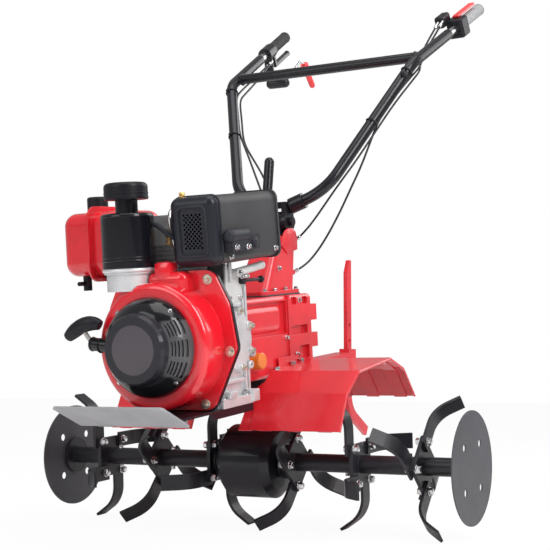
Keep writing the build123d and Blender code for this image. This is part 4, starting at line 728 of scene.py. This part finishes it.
# ferrules on both ends of each cable
bm = bmesh.new()
towerEnds = bmesh.new()
ferrule = [(0, -6), (3.6, -6), (3.6, 6), (4.6, 7), (4.6, 13), (3.2, 15), (2.5, 15)]
for route in cableSet["routes"].values():
    turnedPart(bm, ferrule, spot(route[0], Vector(route[1]) - Vector(route[0])), 16)
    turnedPart(towerEnds, ferrule, spot(route[-1], Vector(route[-2]) - Vector(route[-1])), 16)
settle("cable_ferrules", bm, brightSteel, "handlebar")
settle("tower_ferrules", towerEnds, brightSteel, "frame")

# hand grips with fine ribs, over the bare bars
gripSet = {"length": 118.0, "radius": 14.5, "ribs": 15, "first": 8.0, "pitch": 6.6, "bore": 10.7}
handleEnd, handleBend = Vector((-772, 283, 1049)), Vector((-395, 245, 873))


def onSide(point, side):   # a point of the left handle, or its mirror image on the right
    return Vector((point.x, side * point.y, point.z))


def ribbedGrip(name, side, finish, node):
    s = gripSet
    radius = s["radius"]
    profile = [(0, -1.6), (radius * 0.6, -1.6), (radius * 0.95, -0.4), (radius + 1.0, 2.5), (radius + 1.0, 6.0)]
    profile.append((radius - 0.6, 7.0))
    for i in range(s["ribs"]):
        z = s["first"] + i * s["pitch"]
        profile += [(radius - 0.6, z), (radius + 0.5, z + 0.9), (radius + 0.5, z + 4.4), (radius - 0.6, z + 5.3)]
    top = s["length"]
    profile += [(radius + 2.6, top - 8), (radius + 2.6, top - 1.5), (radius + 1.6, top), (s["bore"], top)]
    end, bend = onSide(handleEnd, side), onSide(handleBend, side)
    bm = bmesh.new()
    turnedPart(bm, profile, spot(end, bend - end), 40)
    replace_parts(settle(name, bm, finish, "handlebar", 30), node)


ribbedGrip("ribbed_grip_left", 1, gripGrey, "grip_left")
ribbedGrip("ribbed_grip_right", -1, gripBlack, "grip_right")

# clips, cable ties and weld beads on the handle tubes
lowBend = Vector((-172, 112, 580))
tieSet = {"shares": (0.52, 0.93), "radius": 14.2, "thick": 1.5, "weldRadius": 13.2, "weld": (-437, 236, 892)}
ties, welds = bmesh.new(), bmesh.new()
for side in (1, -1):
    first, last = onSide(lowBend, side), onSide(handleBend, side)
    for share in tieSet["shares"]:
        here = first.lerp(last, share)
        ring(ties, tieSet["radius"], tieSet["thick"], spot(here, last - first), 32, 6)
        softBlock(ties, (7, 6, 5), 1.2, spot(here + Vector((14, side * 5, 6.5)), (1, side * 0.3, 0.4)))
    x, y, z = tieSet["weld"]
    ring(welds, tieSet["weldRadius"], 2.3, spot((x, side * y, z), (0, 1, 0)), 36, 8)
softBlock(ties, (16, 12, 14), 3.0, spot(lowBend.lerp(handleBend, 0.88) + Vector((11, 9, 6)), (0.8, 0.5, 0.4)))
settle("cable_ties", ties, capBlack, "handlebar")
settle("weld_beads", welds, tubeBlack, "handlebar")
print("fittings set")

# castings on the engine's left: ribs, bosses, a brace and the control's bracket
castSet = {
    "blocks": [
        ((10, 7, 50), (222, 86, 416)), ((9, 6, 34), (238, 86, 410)), ((7, 9, 190), (176, 83, 268)),
        ((6, 7, 196), (256, 82, 266)), ((26, 26, 24), (163, 88, 162)), ((30, 20, 14), (250, 90, 172)),
        ((60, 8, 8), (214, 83, 346)), ((70, 9, 9), (218, 83, 196)),
    ],
    "bosses": [(164, 303), (150, 246), (161, 223), (284, 340), (284, 206)],
    "boss": [(3.4, 10), (3.4, 14), (7.0, 14), (8.5, 12.5), (9.5, 0)],
    "brace": ((286, 84, 206), (182, 84, 334)),
    "soft": 2.2,
}
bm = bmesh.new()
for size, place in castSet["blocks"]:
    softBlock(bm, size, castSet["soft"], bodyPlace @ Matrix.Translation(place))
for x, z in castSet["bosses"]:
    turnedPart(bm, castSet["boss"], spot((x, 78, z), (0, 1, 0)), 24)
first, last = (Vector(p) for p in castSet["brace"])
softBlock(bm, (9, 8, (last - first).length), castSet["soft"], spot((first + last) / 2, last - first))
settle("crankcase_castings", bm, castAlloy, "frame")

# the air duct's hump beside the air cleaner
bm = bmesh.new()
softBlock(bm, (36, 38, 46), 9.0, bodyPlace @ Matrix.Translation((332, 10, 415)))
softBlock(bm, (24, 30, 30), 8.0, bodyPlace @ Matrix.Translation((336, 12, 398)))
settle("duct_hump", bm, redSheet, "frame")

# cheeks beside the handle bracket, on top of the tower
cheekSet = {
    "outline": [
        (-94, 462), (-104, 480), (-116, 494), (-130, 500), (-150, 500),
        (-162, 494), (-169, 480), (-168, 452), (-120, 444),
    ],
    "thick": 5.5, "inside": 31.6,
}
bm = bmesh.new()
for near in (cheekSet["inside"] + cheekSet["thick"], -cheekSet["inside"]):
    upright = bodyPlace @ Matrix.Translation((0, near, 0)) @ Matrix.Rotation(pi / 2, 4, "X")
    added(bm, upright, lambda single: flatPlate(single, cheekSet["outline"], cheekSet["thick"]))
settle("tower_cheeks", bm, redCast, "frame")

# the left fender's front apron, a sheet that runs on behind the engine bed
apronSet = {"edge": [(144, 42, 87), (103, 52, 157), (72, 64, 176)], "outer": 71.0, "thick": 2.5, "back": (0.8, 0, 0.6)}
bm = bmesh.new()
loops = []
for drop in (0.0, -apronSet["thick"]):
    shift = drop * Vector(apronSet["back"])
    inner = [bm.verts.new(bodyPlace @ (Vector(point) + shift)) for point in apronSet["edge"]]
    outer = [bm.verts.new(bodyPlace @ (Vector((x, apronSet["outer"], z)) + shift)) for x, y, z in apronSet["edge"]]
    for i in range(len(inner) - 1):
        bm.faces.new((inner[i], inner[i + 1], outer[i + 1], outer[i]))
    loops.append(inner + outer[::-1])
front, rear = loops
for i in range(len(front)):
    j = (i + 1) % len(front)
    bm.faces.new((front[i], front[j], rear[j], rear[i]))
settle("fender_aprons", bm, redFender, "frame", 30)
print("castings set")

# the stage: a pale floor, a white studio round it and soft lamps
stageSet = {
    "floorHalf": 14.0, "ambient": 0.55, "floorGlow": 0.94, "frontDark": 0.12, "gloss": 0.36,
    "lamps": {
        "lamp_key": {"azimuth": 158, "elevation": 32, "away": 3.4, "size": (1.0, 2.6), "power": 80},
        "lamp_fill": {"azimuth": 72, "elevation": 25, "away": 3.6, "size": (1.8, 2.2), "power": 30},
        "lamp_top": {"azimuth": 120, "elevation": 80, "away": 3.2, "size": (2.6, 2.6), "power": 48},
        "lamp_back": {"azimuth": 250, "elevation": 30, "away": 3.6, "size": (2.4, 2.0), "power": 40},
    },
}


def studio():
    s = stageSet
    bm = bmesh.new()
    bmesh.ops.create_grid(bm, x_segments=1, y_segments=1, size=s["floorHalf"])
    bmesh.ops.translate(bm, vec=(0, 0, -0.0004), verts=bm.verts)
    mesh = bpy.data.meshes.new("floor")
    bm.to_mesh(mesh)
    bm.free()
    material, f = newFinish("pale_floor")
    seen = f.node("ShaderNodeLightPath", out="Is Camera Ray")
    matt = f.node("ShaderNodeBsdfDiffuse", None, {"Color": (0.88, 0.88, 0.88, 1)})
    glow = f.node("ShaderNodeEmission", None, {"Color": (1, 1, 1, 1), "Strength": 1.0})
    both = f.node("ShaderNodeMixShader", None, {0: seen * s["floorGlow"], 1: matt, 2: glow})
    f.node("ShaderNodeOutputMaterial", None, {0: both})
    mesh.materials.append(material)
    floor = bpy.data.objects.new("floor", mesh)
    bpy.context.scene.collection.objects.link(floor)

    world = bpy.data.worlds.new("studio")
    world.use_nodes = True
    bpy.context.scene.world = world
    f = Finish(world.node_tree)
    rays = f.node("ShaderNodeLightPath").socket.node.outputs
    eye, gloss, through = (Flow(f, rays[name]) for name in ("Is Camera Ray", "Is Glossy Ray", "Is Transmission Ray"))
    way = f.node("ShaderNodeTexCoord", out="Generated")
    facing = f.node("ShaderNodeVectorMath", {"operation": "DOT_PRODUCT"}, {0: way, 1: lookBack}, out=1)
    front = facing.between(0.1, 0.95)
    shown = eye.most(through)
    level = shown + (1.0 - shown) * gloss * (1.0 - front * (1 - s["frontDark"])) * s["gloss"]
    level = level + (1.0 - shown.most(gloss)) * s["ambient"]
    glow = f.node("ShaderNodeBackground", None, {0: (1, 1, 1, 1), 1: level})
    f.node("ShaderNodeOutputWorld", None, {0: glow})

    middle = (cadLow + cadHigh) / 2
    for name, lamp in s["lamps"].items():
        a, e = radians(lamp["azimuth"]), radians(lamp["elevation"])
        back = Vector((sin(a) * cos(e), -cos(a) * cos(e), sin(e)))
        light = bpy.data.lights.new(name, "AREA")
        light.shape = "RECTANGLE"
        light.size, light.size_y = lamp["size"]
        light.energy = lamp["power"]
        holder = bpy.data.objects.new(name, light)
        holder.location = middle + back * lamp["away"]
        holder.rotation_mode = "QUATERNION"
        holder.rotation_quaternion = (-back).to_track_quat("-Z", "Y")
        bpy.context.scene.collection.objects.link(holder)


studio()
print("studio set")
